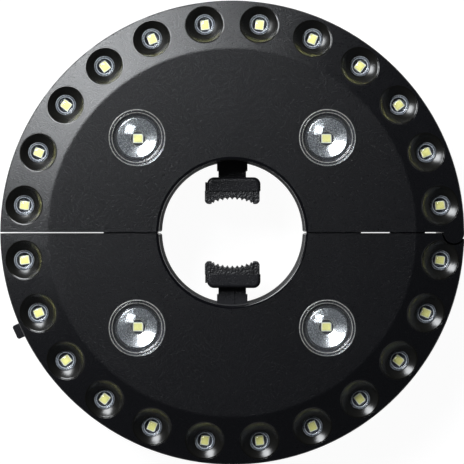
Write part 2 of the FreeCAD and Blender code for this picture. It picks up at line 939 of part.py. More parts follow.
def seam_tongue():
    """Alignment tongue beside the hole, on the hinge side of the lower half."""
    clear = size("tongue_clearance")
    low, high = size("slot_low") + clear, size("slot_low") + size("slot_height") - clear
    return box((clear - slot_end, -size("tongue_reach"), low),
               (-slot_start - clear, wall, high))


def latch_clip():
    """Snap tongue on the lower half, with its foot behind that half's seam wall."""
    body = new_body("latch_clip", LOWER)
    clear, edge = size("tongue_clearance"), size("clip_foot")
    low, high = size("slot_low"), size("slot_low") + size("slot_height")
    block(body, (slot_start + clear, -size("tongue_reach"), low + clear),
          (slot_end - clear, seam_inside + OVER, high - clear))
    round_level(body, size("tongue_round"), [low + clear, high - clear])
    block(body, (slot_start + edge, seam_inside + piece_gap, low - edge),
          (slot_end + edge, seam_inside + piece_gap + size("clip_foot_thickness"),
           high + edge))


def board_posts():
    """Two posts that the small control board leans on, beside the button."""
    back = control_board_place() - piece_gap
    half_board, width = size("control_board_half"), size("board_post_width")
    return [box((back - size("board_post"), near, wall / 2),
                (back, far, size("board_post_height")), size("button_angle"))
            for near, far in ((-half_board, width - half_board),
                              (half_board - width, half_board))]


def button_slot():
    clear = guide_clearance
    half_width = size("button_half_width") + clear
    return box((outer_radius - wall * 2, -half_width, size("button_foot") - clear),
               (outer_radius + FAR, half_width,
                size("button_foot") + size("button_height") + clear), size("button_angle"))


# ---------------------------------------------------------------- lights

def led_board(half):
    body = new_body(half.name + "_led_board", half)
    sketch = new_sketch(body, "XZ_Plane")
    inner, outer = size("board_inner_radius"), led_radius + size("board_outer_margin")
    outline(sketch, [(inner, board_foot), (outer, board_foot), (outer, board_top),
                     (inner, board_top)])
    spin(body, sketch, angle=180)
    block(body, (-outer_radius, -OVER, board_foot - OVER),
          (outer_radius, size("board_seam_margin"), board_top + OVER), cut=True)
    depth = size("board_thickness") + OVER * 2
    clear = size("board_clearance")
    low = board_foot - OVER
    for sign in (1, -1):
        rod(body, (hinge_distance * sign, 0, low), notch_radius + wall + clear, depth, cut=True)
    for x, y in both_sides(CASE_SCREWS[:2]):
        rod(body, (x, y, low), size("pillar_radius") + clear, depth, cut=True)
    for x, y in both_sides(BOARD_SCREWS):
        rod(body, (x, y, low), size("board_screw_radius") + clear / 2, depth, cut=True)


def ring_blocks(name, half, length, width, low, high):
    """Twelve small blocks in the ring, each with its length along the radius."""
    body = new_body(half.name + name, half, compound=True)
    first = block(body, (led_radius - length / 2, -width / 2, low),
                  (led_radius + length / 2, width / 2, high), led_pitch / 2)
    repeat_round_pole(body, [first])


def ring_lights(half):
    led_top = board_top + size("led_thickness")
    margin = size("phosphor_margin") * 2
    ring_blocks("_ring_leds", half, size("led_length"), size("led_width"), board_top, led_top)
    ring_blocks("_ring_phosphors", half, size("led_length") - margin, size("led_width") - margin,
                led_top, led_top + size("phosphor_thickness"))


def ring_lenses(half):
    """Small clear plugs, each with a flange held between the board and the bowl's foot."""
    body = new_body(half.name + "_ring_lenses", half, compound=True)
    x, y = on_ring(led_radius, led_pitch / 2)
    sketch = new_sketch(body, "XZ_Plane", (x, 0, -y))
    radius = size("ring_lens_radius")
    flange = radius + size("ring_lens_flange")
    foot, seat = board_top + piece_gap, bowl_boss_foot - piece_gap
    top = seat + size("ring_lens_rise")
    inside_top = top - size("ring_lens_cap")
    hollow_radius = radius - size("ring_lens_skin")
    dome = size("ring_lens_dome")
    curve = (radius * radius + dome * dome) / (dome * 2)
    outline(sketch, [(hollow_radius, foot), (flange, foot), (flange, seat), (radius, seat),
                     (radius, top - dome, curve, 1), (0, top), (0, inside_top),
                     (hollow_radius, inside_top)])
    lens = spin(body, sketch)
    repeat_round_pole(body, [lens])


def spot_places(half):
    names = ("right", "left") if half is UPPER else ("left", "right")
    return zip(names, spot_angles())


def spot_lens(half, name, angle):
    body = new_body(f"{half.name}_{name}_spot_lens", half)
    x, y = on_ring(size("spot_radius"), angle)
    sketch = new_sketch(body, "XZ_Plane", (x, 0, -y))
    radius, dome = size("spot_lens_radius"), size("spot_dome_radius")
    rise, skin = size("spot_dome_rise"), size("spot_lens_wall")
    flange = radius + size("spot_lens_flange")
    seat = face_height - wall - piece_gap
    foot = seat - size("spot_lens_flange_height")
    lip = face_height + size("spot_lens_lip")
    cavity = radius - size("spot_lens_skirt")
    curve = (dome * dome + rise * rise) / (rise * 2)
    inner_rise = rise * 0.8
    inner_curve = (cavity * cavity + inner_rise * inner_rise) / (inner_rise * 2)
    top = lip + rise
    outline(sketch, [(cavity, foot), (flange, foot), (flange, seat), (radius, seat),
                     (radius, lip), (dome, lip, curve, 1), (0, top),
                     (0, top - skin, inner_curve, -1), (cavity, top - skin - inner_rise)])
    spin(body, sketch)


def spot_reflector(half, name, angle):
    body = new_body(f"{half.name}_{name}_spot_reflector", half)
    x, y = on_ring(size("spot_radius"), angle)
    sketch = new_sketch(body, "XZ_Plane", (x, 0, -y))
    cup, foot = size("cup_radius"), size("cup_foot_radius")
    skin, flange = size("cup_skin"), size("cup_radius") + size("cup_flange")
    top = board_top + size("cup_depth")
    outline(sketch, [(foot, board_top), (foot, board_top + skin / 2, size("cup_curve"), 1),
                     (cup, top), (flange, top), (flange, top - skin), (foot + skin, board_top)])
    spin(body, sketch)


def spot_lights(half):
    """Package and emitting face of each spot LED, square to the light's own axes."""
    led_top = board_top + size("led_thickness")
    half_length, half_width = size("led_length") / 2, size("led_width") / 2
    margin = size("phosphor_margin")
    for name, low, high, inset in (
            ("_spot_leds", board_top, led_top, as_size(0)),
            ("_spot_phosphors", led_top, led_top + size("phosphor_thickness"), margin)):
        body = new_body(half.name + name, half, compound=True)
        for angle in spot_angles():
            x, y = on_ring(size("spot_radius"), angle)
            block(body, (x - half_length + inset, y - half_width + inset, low),
                  (x + half_length - inset, y + half_width - inset, high))


# ---------------------------------------------------------------- pole pads

def pad_guide(half):
    """Channel that the pad's stem slides in, standing on the rear shell's floor."""
    body = new_body(half.name + "_pad_guide", half)
    channel = stem_half_width + guide_clearance
    side = channel + size("guide_wall")
    near = hole_radius + wall + piece_gap * 2
    far = size("guide_end") + size("guide_wall")
    block(body, (-side, near, wall), (side, far, channel_high + size("guide_roof")))
    block(body, (-channel, near - OVER, channel_low),
          (channel, size("guide_end"), channel_high), cut=True)
    block(body, (-channel, near + size("guide_wall"), wall - OVER),
          (channel, size("guide_end"), channel_low - size("guide_floor")), cut=True)


def pad_holder(half):
    """T-shaped carrier: a head behind the rubber, and a stem with the spring's pocket."""
    body = new_body(half.name + "_pad_holder", half)
    shift = size("holder_shift") * half.side
    half_width = size("holder_half_width")
    near = size("pad_back")
    far = near + size("holder_depth")
    low, high = stem_level - size("holder_height") / 2, stem_level + size("holder_height") / 2
    block(body, (shift - half_width, near, low), (shift + half_width, far, high))
    round_upright(body, size("holder_round"),
                  [(shift - half_width, far), (shift + half_width, far)])
    round_level(body, size("holder_edge_round"), [low, high], beyond=near)
    neck = size("neck_half_width")
    neck_end = far + size("neck_length")
    stem_low, stem_high = stem_level - stem_half_height, stem_level + stem_half_height
    block(body, (-neck, far - OVER, stem_low), (neck, neck_end + OVER / 2, stem_high))
    block(body, (-stem_half_width, neck_end, stem_low), (stem_half_width, stem_end, stem_high))
    block(body, (-size("rib_half_width"), far - OVER / 2, stem_high - OVER),
          (size("rib_half_width"), stem_end, stem_high + size("rib_height")))
    rod(body, (0, stem_end - size("spring_pocket_depth"), stem_level),
        size("spring_pocket_radius"), size("spring_pocket_depth") + OVER, "y", cut=True)


def rubber_pad(half):
    """Toothed and hollowed grip, with a tab that wraps the holder at the image's left."""
    body = new_body(half.name + "_rubber_pad", half)
    half_width = size("rubber_half_width")
    tip, back = size("pad_tip"), size("pad_back")
    arc_radius = size("pad_arc_radius")
    centre = size("pad_arc_middle") - arc_radius
    low, high = stem_level - size("rubber_height") / 2, stem_level + size("rubber_height") / 2
    block(body, (-half_width, tip, low), (half_width, back, high))
    lobe = root(arc_radius * arc_radius - (tip - centre) * (tip - centre))
    rod(body, (0, centre, low - OVER), arc_radius, high - low + OVER * 2, cut=True)
    round_upright(body, size("lobe_round"), [(half_width, tip), (-half_width, tip)])
    round_upright(body, size("lobe_inner_round"), [(lobe, tip), (-lobe, tip)])
    sketch = new_sketch(body, "XY_Plane", (0, centre, low - OVER))
    for step in range(-TEETH_EACH_SIDE, TEETH_EACH_SIDE + 1):
        outline(sketch, tooth_gap(90 + step * size("tooth_pitch"), arc_radius))
    pocket(body, sketch, high - low + OVER * 2, reverse=True)
    tab = size("tab_thickness")
    near = -half_width if half is UPPER else half_width - tab
    block(body, (near, back - OVER, low),
          (near + tab, back + size("tab_length"), low + size("tab_height")))


def tooth_gap(angle, arc_radius):
    """A notch between two teeth, in the frame of the arc's centre."""
    half_angle = size("tooth_half_width") / arc_radius * math.degrees(1)
    mouth = arc_radius - OVER * 0.3
    left = on_ring(mouth, angle + half_angle)
    right = on_ring(mouth, angle - half_angle)
    bottom = on_ring(arc_radius + size("tooth_depth"), angle)
    return [left, right, bottom]


def coil(start, axis, length, radius, wire, turns):
    """A coil spring as one pipe on arcs of a quarter turn."""
    steps = turns * 4
    rise = length / steps
    along = FreeCAD.Vector(*axis)
    across = FreeCAD.Vector(0, 0, 1)
    third = along.cross(across)

    def place(step):
        angle = math.pi / 2 * step
        return (start + along * (wire + rise * step) + across * (radius * math.cos(angle))
                + third * (radius * math.sin(angle)))

    edges = [Part.Arc(place(step), place(step + 0.5), place(step + 1)).toShape()
             for step in range(steps)]
    tangent = edges[0].tangentAt(edges[0].FirstParameter)
    profile = Part.Wire([Part.makeCircle(wire, place(0), tangent)])
    return Part.Wire(edges).makePipeShell([profile], True, False)


def pad_spring(half):
    """Coil between the stem's pocket and the end of the guide."""
    wire = size("spring_wire").number / 2
    near = (stem_end - size("spring_pocket_depth") + SPRING_SEAT).number
    far = (size("guide_end") - SPRING_SEAT).number
    shape = coil(FreeCAD.Vector(0, near, stem_level.number), (0, 1, 0), far - near - wire * 2,
                 size("spring_radius").number, wire, SPRING_TURNS)
    add_shape(half.name + "_pad_spring", half, shape)


def add_shape(name, half, shape):
    feature = doc.addObject("Part::Feature", name)
    feature.Label = name
    feature.Shape = shape
    feature.Placement = FreeCAD.Placement(FreeCAD.Vector(), half_rotation(half))
    pieces.append(feature)


# ---------------------------------------------------------------- power

def cell(half, name, place, sign):
    """One AA cell along X; the sign tells which way its positive nub points."""
    body = new_body(f"{half.name}_{name}_cell", half)
    length = size("cell_length")
    nub = size("cell_nub_length")
    start = -length / 2
    rod(body, (start, place, cell_level), size("cell_radius"), length, "x")
    nub_start = length / 2 if sign > 0 else -length / 2 - nub
    rod(body, (nub_start, place, cell_level), size("cell_nub_radius"), nub, "x")


def contact_face():
    """Distance of the contact plates' inner face from the middle of the bay."""
    return bay_half_length - piece_gap - size("contact_thickness")


def cell_contacts(half):
    body = new_body(half.name + "_cell_contacts", half, compound=True)
    thick = size("contact_thickness")
    half_width = size("contact_width") / 2
    inner = contact_face()
    half_height = size("contact_height") / 2
    low, high = cell_level - half_height, cell_level + half_height
    block(body, (inner, inner_cell_place - half_width, low),
          (inner + thick, outer_cell_place + half_width, high))
    for place in (inner_cell_place, outer_cell_place):
        block(body, (-inner - thick, place - half_width, low),
              (-inner, place + half_width, high))


def cell_springs(half):
    """Coils between each cell's flat end and its contact plate."""
    wire = size("cell_spring_wire").number / 2
    seat = piece_gap.number
    end = size("cell_length").number / 2 + seat
    length = contact_face().number - end - seat - wire * 2
    springs = []
    for place, sign in ((inner_cell_place, -1), (outer_cell_place, 1)):
        start = FreeCAD.Vector(sign * end, place.number, cell_level.number)
        springs.append(coil(start, (sign, 0, 0), length, size("cell_spring_radius").number, wire,
                            CELL_SPRING_TURNS))
    add_shape(half.name + "_cell_springs", half, Part.makeCompound(springs))


def trim_to_rear_rim(body):
    """Cuts away what stands out past the back shell's sloped rim."""
    sketch = new_sketch(body, "XZ_Plane")
    start = rear_radius - chamfer_run / rear_chamfer * OVER
    outline(sketch, [(start, -OVER), (outer_radius + FAR, -OVER),
                     (outer_radius + FAR, rear_chamfer), (outer_radius, rear_chamfer)])
    spin(body, sketch, cut=True)


def battery_door(half):
    """Sliding door with a rail along each side; it slides outwards past the rim."""
    body = new_body(half.name + "_battery_door", half)
    clear = size("door_clearance")
    near = bay_inner_edge + clear
    far = outer_radius + size("door_proud")
    half_width = bay_half_length - clear
    rail_foot = size("door_lip") + size("rail_clearance")
    block(body, (-half_width, near, 0), (half_width, far, door_top))
    block(body, (-rail_reach, near, rail_foot), (rail_reach, far, door_top))
    trim_to_rear_rim(body)
    grip_half = size("grip_half_length")
    for step in range(DOOR_GRIPS):
        start = bay_outer_edge - size("grip_inset") + step * size("grip_pitch")
        block(body, (-grip_half, start, -OVER),
              (grip_half, start + size("grip_width"), size("grip_depth")), cut=True)


# ---------------------------------------------------------------- hooks

def hook(half):
    """Bent wire hook on a cross bar; it lies flat in its recess and swings out."""
    x, y, level = size("hook_place_x"), size("hook_place_y"), size("hook_level")
    bend, wire = size("hook_bend_radius"), size("hook_wire_radius")
    reach, tip = size("hook_reach"), size("hook_tip")
    half_bar = bend + wire + size("hook_bar_end")
    turn_back = FreeCAD.Rotation(FreeCAD.Vector(0, 0, 1), -90)
    finish(fuse(half.name + "_hook", [
        cylinder((x, y - half_bar, level), size("hook_bar_radius"), half_bar * 2, "y"),
        cylinder((x, y + bend, level), wire, reach, "x"),
        cylinder((x + reach - tip, y - bend, level), wire, tip, "x"),
        primitive("Part::Sphere", (x + reach - tip, y - bend, level), TURNS["z"], Radius=wire),
        primitive("Part::Torus", (x + reach, y, level), turn_back,
                  Radius1=bend, Radius2=wire, Angle3=180)]), half)


# ---------------------------------------------------------------- button and control board

def control_board_place():
    """Radial distance of the control board's inner face."""
    return (button_back() - size("button_travel") - size("plunger_reach")
            - size("switch_height") - size("board_thickness"))


def button_back():
    """Radial distance of the button's back face."""
    return outer_radius - wall - size("button_play") - size("button_flange")


def push_button():
    body = new_body("push_button", LOWER)
    half_width = size("button_half_width")
    low, high = size("button_foot"), size("button_foot") + size("button_height")
    flange_back = button_back()
    flange_face = flange_back + size("button_flange")
    edge, clear = size("button_flange_edge"), size("tongue_clearance")
    turn = size("button_angle")
    block(body, (flange_back, -half_width, low),
          (outer_radius + size("button_proud"), half_width, high), turn)
    outer = outer_radius + size("button_proud")
    corners = []
    for sign in (1, -1):
        corners.append((outer * cosine(turn) - half_width * sign * sine(turn),
                        outer * sine(turn) + half_width * sign * cosine(turn)))
    round_upright(body, size("button_round"), corners)
    block(body, (flange_back, -half_width - edge, low - clear),
          (flange_face, half_width + edge, high + clear), turn)


def control_board():
    body = new_body("control_board", LOWER)
    near = control_board_place()
    half_board = size("control_board_half")
    block(body, (near, -half_board, wall + piece_gap),
          (near + size("board_thickness"), half_board, parting - size("control_board_drop")),
          size("button_angle"))


def tact_switch():
    body = new_body("tact_switch", LOWER)
    near = control_board_place() + size("board_thickness")
    half_size = size("switch_size") / 2
    middle = size("button_foot") + size("button_height") / 2
    turn = size("button_angle")
    block(body, (near, -half_size, middle - half_size),
          (near + size("switch_height"), half_size, middle + half_size), turn)
    plunger = size("plunger_half")
    block(body, (near + size("switch_height") - size("plunger_root"), -plunger,
                 middle - plunger),
          (button_back() - size("button_travel") - piece_gap, plunger, middle + plunger), turn)


# ---------------------------------------------------------------- fasteners, pin and lead

def case_screws(half):
    body = new_body(half.name + "_case_screws", half, compound=True)
    for x, y in both_sides(CASE_SCREWS):
        rod(body, (x, y, size("screw_seat") - size("screw_head_height")),
            size("screw_head_radius"), size("screw_head_height"))
        rod(body, (x, y, size("screw_seat") - OVER / 2), size("screw_radius"),
            size("screw_length") + OVER / 2)


def board_screws(half):
    body = new_body(half.name + "_board_screws", half, compound=True)
    for x, y in both_sides(BOARD_SCREWS):
        head = size("board_screw_head_height")
        rod(body, (x, y, board_foot - head), size("board_screw_head_radius"), head)
        rod(body, (x, y, board_foot - OVER / 2), size("board_screw_radius"),
            size("board_screw_length"))


def hinge_pin():
    body = new_body("hinge_pin", UPPER)
    rod(body, (hinge_distance, 0, size("pin_foot")), size("pin_radius"), size("pin_length"))


def hinge_lead():
    """Flat lead of bonded wires between the LED boards: down, across the seam and up again."""
    x = lead_place.number
    top, level = board_foot.number, size("lead_level").number
    reach, bend = size("lead_reach").number, size("lead_bend").number
    slant = bend * (1 - math.sqrt(0.5))
    line = [FreeCAD.Vector(x, y, z) for y, z in (
        (reach, top), (reach, level + bend), (reach - bend, level),
        (bend - reach, level), (-reach, level + bend), (-reach, top))]
    first_middle = FreeCAD.Vector(x, reach - slant, level + slant)
    last_middle = FreeCAD.Vector(x, slant - reach, level + slant)
    path = Part.Wire([
        Part.LineSegment(line[0], line[1]).toShape(),
        Part.Arc(line[1], first_middle, line[2]).toShape(),
        Part.LineSegment(line[2], line[3]).toShape(),
        Part.Arc(line[3], last_middle, line[4]).toShape(),
        Part.LineSegment(line[4], line[5]).toShape()])
    add_shape("hinge_lead", UPPER, path.makePipeShell([lead_profile(line[0])], True, False))


def lead_profile(start):
    """Flat section with round edges, square to the lead's first, upright run."""
    radius = size("lead_thickness").number / 2
    side = size("lead_width").number / 2 - radius

    def place(across, along):
        return start + FreeCAD.Vector(across, along, 0)

    return Part.Wire([
        Part.LineSegment(place(-side, -radius), place(side, -radius)).toShape(),
        Part.Arc(place(side, -radius), place(side + radius, 0), place(side, radius)).toShape(),
        Part.LineSegment(place(side, radius), place(-side, radius)).toShape(),
        Part.Arc(place(-side, radius), place(-side - radius, 0),
                 place(-side, -radius)).toShape()])


# ---------------------------------------------------------------- assembly

for one_half in (UPPER, LOWER):
    front_housing(one_half)
    rear_housing(one_half)
    led_board(one_half)
    ring_lights(one_half)
    ring_lenses(one_half)
    for spot_name, spot_turn in spot_places(one_half):
        spot_lens(one_half, spot_name, spot_turn)
        spot_reflector(one_half, spot_name, spot_turn)
    spot_lights(one_half)
    pad_guide(one_half)
    pad_holder(one_half)
    rubber_pad(one_half)
    pad_spring(one_half)
    cell(one_half, "inner", inner_cell_place, 1)
    cell(one_half, "outer", outer_cell_place, -1)
    cell_contacts(one_half)
    cell_springs(one_half)
    battery_door(one_half)
    hook(one_half)
    case_screws(one_half)
    board_screws(one_half)
hinge_pin()
hinge_lead()
latch_clip()
push_button()
control_board()
tact_switch()

doc.recompute()
for thing in doc.Objects:
    if "Invalid" in thing.State or "Error" in thing.State:
        raise RuntimeError(f"{thing.Label} failed: {thing.State}")
os.makedirs("parts", exist_ok=True)
for piece in pieces:
    if piece.Shape.isNull() or not piece.Shape.isValid():
        raise RuntimeError(f"{piece.Label} has no valid shape")
    piece.Shape.exportStep(os.path.join("parts", piece.Label + ".step"))
    print(f"{piece.Label}: {len(piece.Shape.Solids)} solid(s), {piece.Shape.Volume:.0f} mm3")
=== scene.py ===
"""Looks of the clamp-on umbrella light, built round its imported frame."""

import json
import math

import bmesh
import bpy
from mathutils import Matrix, Vector

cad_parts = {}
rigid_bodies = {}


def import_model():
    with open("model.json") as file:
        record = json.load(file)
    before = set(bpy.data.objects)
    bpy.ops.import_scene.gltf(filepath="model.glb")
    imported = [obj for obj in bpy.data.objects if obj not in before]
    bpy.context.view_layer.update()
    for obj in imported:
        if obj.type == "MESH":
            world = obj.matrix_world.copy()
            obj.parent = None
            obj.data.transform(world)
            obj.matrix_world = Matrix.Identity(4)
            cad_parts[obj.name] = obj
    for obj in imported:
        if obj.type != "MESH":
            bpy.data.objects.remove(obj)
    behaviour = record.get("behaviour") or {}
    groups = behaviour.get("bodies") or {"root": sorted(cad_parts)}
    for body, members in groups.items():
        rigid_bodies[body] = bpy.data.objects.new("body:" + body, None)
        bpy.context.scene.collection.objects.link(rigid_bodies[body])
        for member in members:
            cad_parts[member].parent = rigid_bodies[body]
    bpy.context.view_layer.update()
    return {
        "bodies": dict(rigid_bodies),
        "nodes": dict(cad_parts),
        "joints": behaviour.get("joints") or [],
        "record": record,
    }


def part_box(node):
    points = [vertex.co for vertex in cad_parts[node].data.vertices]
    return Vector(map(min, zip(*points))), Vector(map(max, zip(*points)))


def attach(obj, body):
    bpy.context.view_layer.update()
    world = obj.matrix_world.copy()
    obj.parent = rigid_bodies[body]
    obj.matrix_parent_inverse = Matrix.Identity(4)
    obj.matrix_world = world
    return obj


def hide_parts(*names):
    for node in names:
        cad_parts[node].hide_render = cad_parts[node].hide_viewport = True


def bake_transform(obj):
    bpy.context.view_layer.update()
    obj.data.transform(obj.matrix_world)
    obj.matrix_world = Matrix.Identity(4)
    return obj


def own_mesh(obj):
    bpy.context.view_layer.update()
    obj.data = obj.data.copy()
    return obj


bl_info = {
    "name": "Umbrella Light Looks",
    "version": (1, 0, 0),
    "blender": (4, 5, 0),
    "location": "View3D > Sidebar > Umbrella Light",
    "description": "Finishes, small pieces and stage of a clamp-on umbrella light",
    "category": "Object",
}

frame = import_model()
NODES = frame["nodes"]
MM = 0.001
HALVES = ("upper", "lower")
TURN = {"upper": 0.0, "lower": math.pi}
LED_COUNT = 12
LED_PITCH = math.radians(15)
WHITE = (1, 1, 1, 1)
# Each kind of screw: its name, its places in the upper half and the level of its head's face, then
# its head's radius and height, its shank's radius and length, and its cross, in millimetres.
SCREWS = (
    ("case_screw", ((60.0, 11.5), (41.0, 67.0), (14.5, 38.0)), 3.2, (2.5, 1.8, 1.25, 17.0, 1.35)),
    ("board_screw", ((28.0, 62.0), (68.0, 32.0)), 23.4, (2.1, 1.4, 1.0, 5.0, 1.1)),
)
# The front shells' sloped rim and the balls that form its bowls, in millimetres.
FACE_HEIGHT, FACE_RADIUS = 36.0, 77.0
SLOPE_DROP, SLOPE_RUN = 6.0, 20.5
BOWL_BALL, BOWL_RIM, BOWL_PLACE = 9.6, 7.9, 87.8
# How far outside its ball a bowl's rounded rim starts, and where its polish fades out.
RIM_START, POLISH_FADE = 0.03 * MM, (0.36 * MM, 0.46 * MM)
# The skin of the hole's wall, the width of its rounded edge and the height where that starts.
WALL_SKIN, EDGE_WIDTH, EDGE_START = 0.12 * MM, 1.2 * MM, 34.9 * MM
# Between which values most of a noise lies.
NOISE_REACH = (0.3, 0.7)


# ---------------------------------------------------------------- sizes and colours

def length(name, default, description):
    return bpy.props.FloatProperty(name=name, default=default, description=description,
                                   subtype="DISTANCE", unit="LENGTH", precision=5)


def amount(name, default, description):
    return bpy.props.FloatProperty(name=name, default=default, description=description,
                                   soft_min=0.0, precision=3)


def colour(name, default, description):
    return bpy.props.FloatVectorProperty(name=name, default=default, description=description,
                                         subtype="COLOR", size=3, min=0.0, max=1.0)


class UL_Finishes(bpy.types.PropertyGroup):
    """Colours and surface of the moulded, coated and metal pieces"""
    case: colour("Case", (0.0027, 0.0027, 0.0038), "Black moulded shells")
    case_roughness: amount("Case roughness", 0.30, "Roughness of the textured black shells")
    case_grain: length("Case grain", 0.42 * MM, "Size of the moulded texture's grain")
    grain_depth: length("Grain depth", 0.15 * MM, "Depth of the moulded texture")
    bowl: colour("Bowl", (0.0045, 0.0042, 0.0032), "The LED bowls' black, a little warmer")
    bowl_roughness: amount("Bowl roughness", 0.27, "Roughness of the polished LED bowls")
    wall_roughness: amount("Wall roughness", 1.0, "Roughness of the hole's wall")
    edge_roughness: amount("Edge roughness", 0.16, "Roughness of rounded edges")
    hole_radius: length("Hole radius", 30.5 * MM, "Radius of the pole's hole")
    pad: colour("Pad carrier", (0.012, 0.012, 0.014), "Black carriers behind the rubber")
    rubber: colour("Rubber", (0.011, 0.011, 0.0125), "Black grip rubber")
    button: colour("Button", (0.010, 0.010, 0.012), "Black push button")
    clear: colour("Lens", (0.93, 0.96, 1.0), "Clear lens plastic")
    # Painted sheen: the plugs' rims get a pale bluish colour for the silvery sheen of a clear rim,
    # over their frost texture.
    frosted: colour("Frosted rim", (0.66, 0.72, 0.80), "Textured rim of a clear plug")
    # Painted highlight: the covers' ridge tops get a pale warm colour that draws thin bright lines
    # along them.
    ridge: colour("Frosted ridge", (0.86, 0.85, 0.80), "Ridges of a large clear cover")
    cup: colour("Cup", (0.90, 0.90, 0.88), "Bright plated reflector cups")
    mask: colour("Board", (0.028, 0.028, 0.034), "Black solder mask of the LED boards")
    control: colour("Control board", (0.02, 0.13, 0.05), "Green solder mask")
    package: colour("LED package", (0.80, 0.79, 0.66), "Pale package of each LED")
    phosphor: colour("Phosphor", (0.86, 0.80, 0.27), "Yellow face of each LED, not lit")
    phosphor_rim: colour("Phosphor rim", (0.95, 0.93, 0.62), "Paler rim of that face")
    steel: colour("Steel", (0.60, 0.61, 0.63), "Screws, pin, hooks and contacts")
    sleeve: colour("Cell sleeve", (0.055, 0.07, 0.09), "Plain sleeve of the cells")
    lead: colour("Lead", (0.02, 0.02, 0.02), "Insulation of the hinge lead")


class UL_Lights(bpy.types.PropertyGroup):
    """LED packages, their clear plugs and where they sit"""
    led_length: length("LED length", 4.3 * MM, "Length of a package along the radius")
    led_width: length("LED width", 3.8 * MM, "Width of a package")
    led_height: length("LED height", 1.1 * MM, "Height of a package")
    led_frame: length("LED frame", 0.22 * MM, "Width of the white frame round the yellow face")
    led_well: length("LED well", 0.14 * MM, "Depth of the well in the package")
    led_radius: length("LED ring", 88.2 * MM, "Distance of the ring's LEDs from the pole's axis")
    board_top: length("Board top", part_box("upper_led_board")[1][2], "Height of the board's face")
    spot_place: length("Spot place", 56.1 * MM * math.sqrt(0.5), "Spot LEDs, along x and y")
    plug_radius: length("Plug radius", 4.25 * MM, "Radius of a small clear plug")
    plug_foot: length("Plug foot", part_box("upper_ring_lenses")[0][2], "Height of a plug's foot")
    plug_rise: length("Plug rise", 2.1 * MM, "Height of a plug above its flange")
    plug_seat: length("Plug seat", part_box("upper_ring_lenses")[1][2] - 2.1 * MM,
                      "Height of the top of a plug's flange")
    window_radius: length("Window radius", 3.1 * MM, "Radius of a plug's flat window")
    cover_radius: length("Cover radius", 11.8 * MM, "Radius of a large clear cover")
    cover_seat: length("Cover seat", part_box("upper_right_spot_lens")[0][2] + 0.9 * MM,
                       "Height of the top of a cover's flange")
    cover_lip: length("Cover lip", 36.4 * MM, "Height of a cover's outer ridge")
    cover_skin: length("Cover skin", 1.2 * MM, "Thickness of a cover")
    dome_radius: length("Dome radius", 8.2 * MM, "Radius of a cover's dome")
    dome_ball: length("Dome ball", 11.8 * MM, "Radius of the ball that the dome is part of")
    cup_radius: length("Cup radius", 7.7 * MM, "Radius of a cup's mouth")
    cup_throat: length("Cup throat", 3.1 * MM, "Radius of a cup's throat")
    cup_top: length("Cup top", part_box("upper_right_spot_reflector")[1][2],
                    "Height of a cup's flange")


class UL_Grips(bpy.types.PropertyGroup):
    """Rubber grips and the springs behind them"""
    rubber_half_width: length("Rubber half width", 11.57 * MM, "Half the width of a grip")
    pad_tip: length("Lobe distance", 12.2 * MM, "Distance of the lobes from the pole's axis")
    pad_back: length("Back distance", 17.65 * MM, "Distance of the grip's back from the axis")
    pad_arc: length("Hollow radius", 22.6 * MM, "Radius of the toothed hollow")
    pad_arc_middle: length("Hollow distance", 14.2 * MM, "Distance of the hollow from the axis")
    tooth_pitch: amount("Tooth pitch", 5.2, "Angle from tooth to tooth, degrees")
    tooth_depth: length("Tooth depth", 0.85 * MM, "Depth of the gaps between teeth")
    rubber_height: length("Rubber height", 17.0 * MM, "Height of a grip along the pole")
    stem_level: length("Stem level", 17.8 * MM, "Height of the middle of the grips")
    tab_thickness: length("Tab thickness", 0.82 * MM, "Thickness of the side tab")
    tab_length: length("Tab length", 3.9 * MM, "Length of the side tab")
    tab_height: length("Tab height", 6.5 * MM, "Height of the side tab")
    spring_start: length("Spring start", 36.3 * MM, "Distance of the spring's near end")
    spring_end: length("Spring end", 49.7 * MM, "Distance of the spring's far end")
    spring_radius: length("Spring radius", 3.2 * MM, "Radius of the pad's spring")
    spring_wire: length("Spring wire", 0.35 * MM, "Radius of the spring's wire")
    spring_turns: amount("Spring turns", 8.0, "Turns of the pad's spring")
    travel: length("Pad travel", 5.0 * MM, "How far a pad can be pushed in")


class UL_Power(bpy.types.PropertyGroup):
    """Cells and the lead that crosses the seam"""
    cell_length: length("Cell length", 49.5 * MM, "Length of a cell without its nub")
    cell_radius: length("Cell radius", 7.2 * MM, "Radius of a cell")
    nub_radius: length("Nub radius", 2.75 * MM, "Radius of the positive nub")
    nub_length: length("Nub length", 1.0 * MM, "Length of the positive nub")
    cell_level: length("Cell level", 9.8 * MM, "Height of the cells' middles")
    inner_cell: length("Inner cell", 60.5 * MM, "Distance of the inner cell from the axis")
    outer_cell: length("Outer cell", 75.5 * MM, "Distance of the outer cell from the axis")
    lead_place: length("Lead place", 74.9 * MM, "Distance of the lead from the axis")
    lead_width: length("Lead width", 15.2 * MM, "Width of the bonded lead")
    lead_thickness: length("Lead thickness", 1.8 * MM, "Thickness of one wire of the lead")
    lead_level: length("Lead level", 14.0 * MM, "Height at which the lead crosses the seam")
    lead_top: length("Lead top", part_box("hinge_lead")[1][2], "Height of the lead's ends")


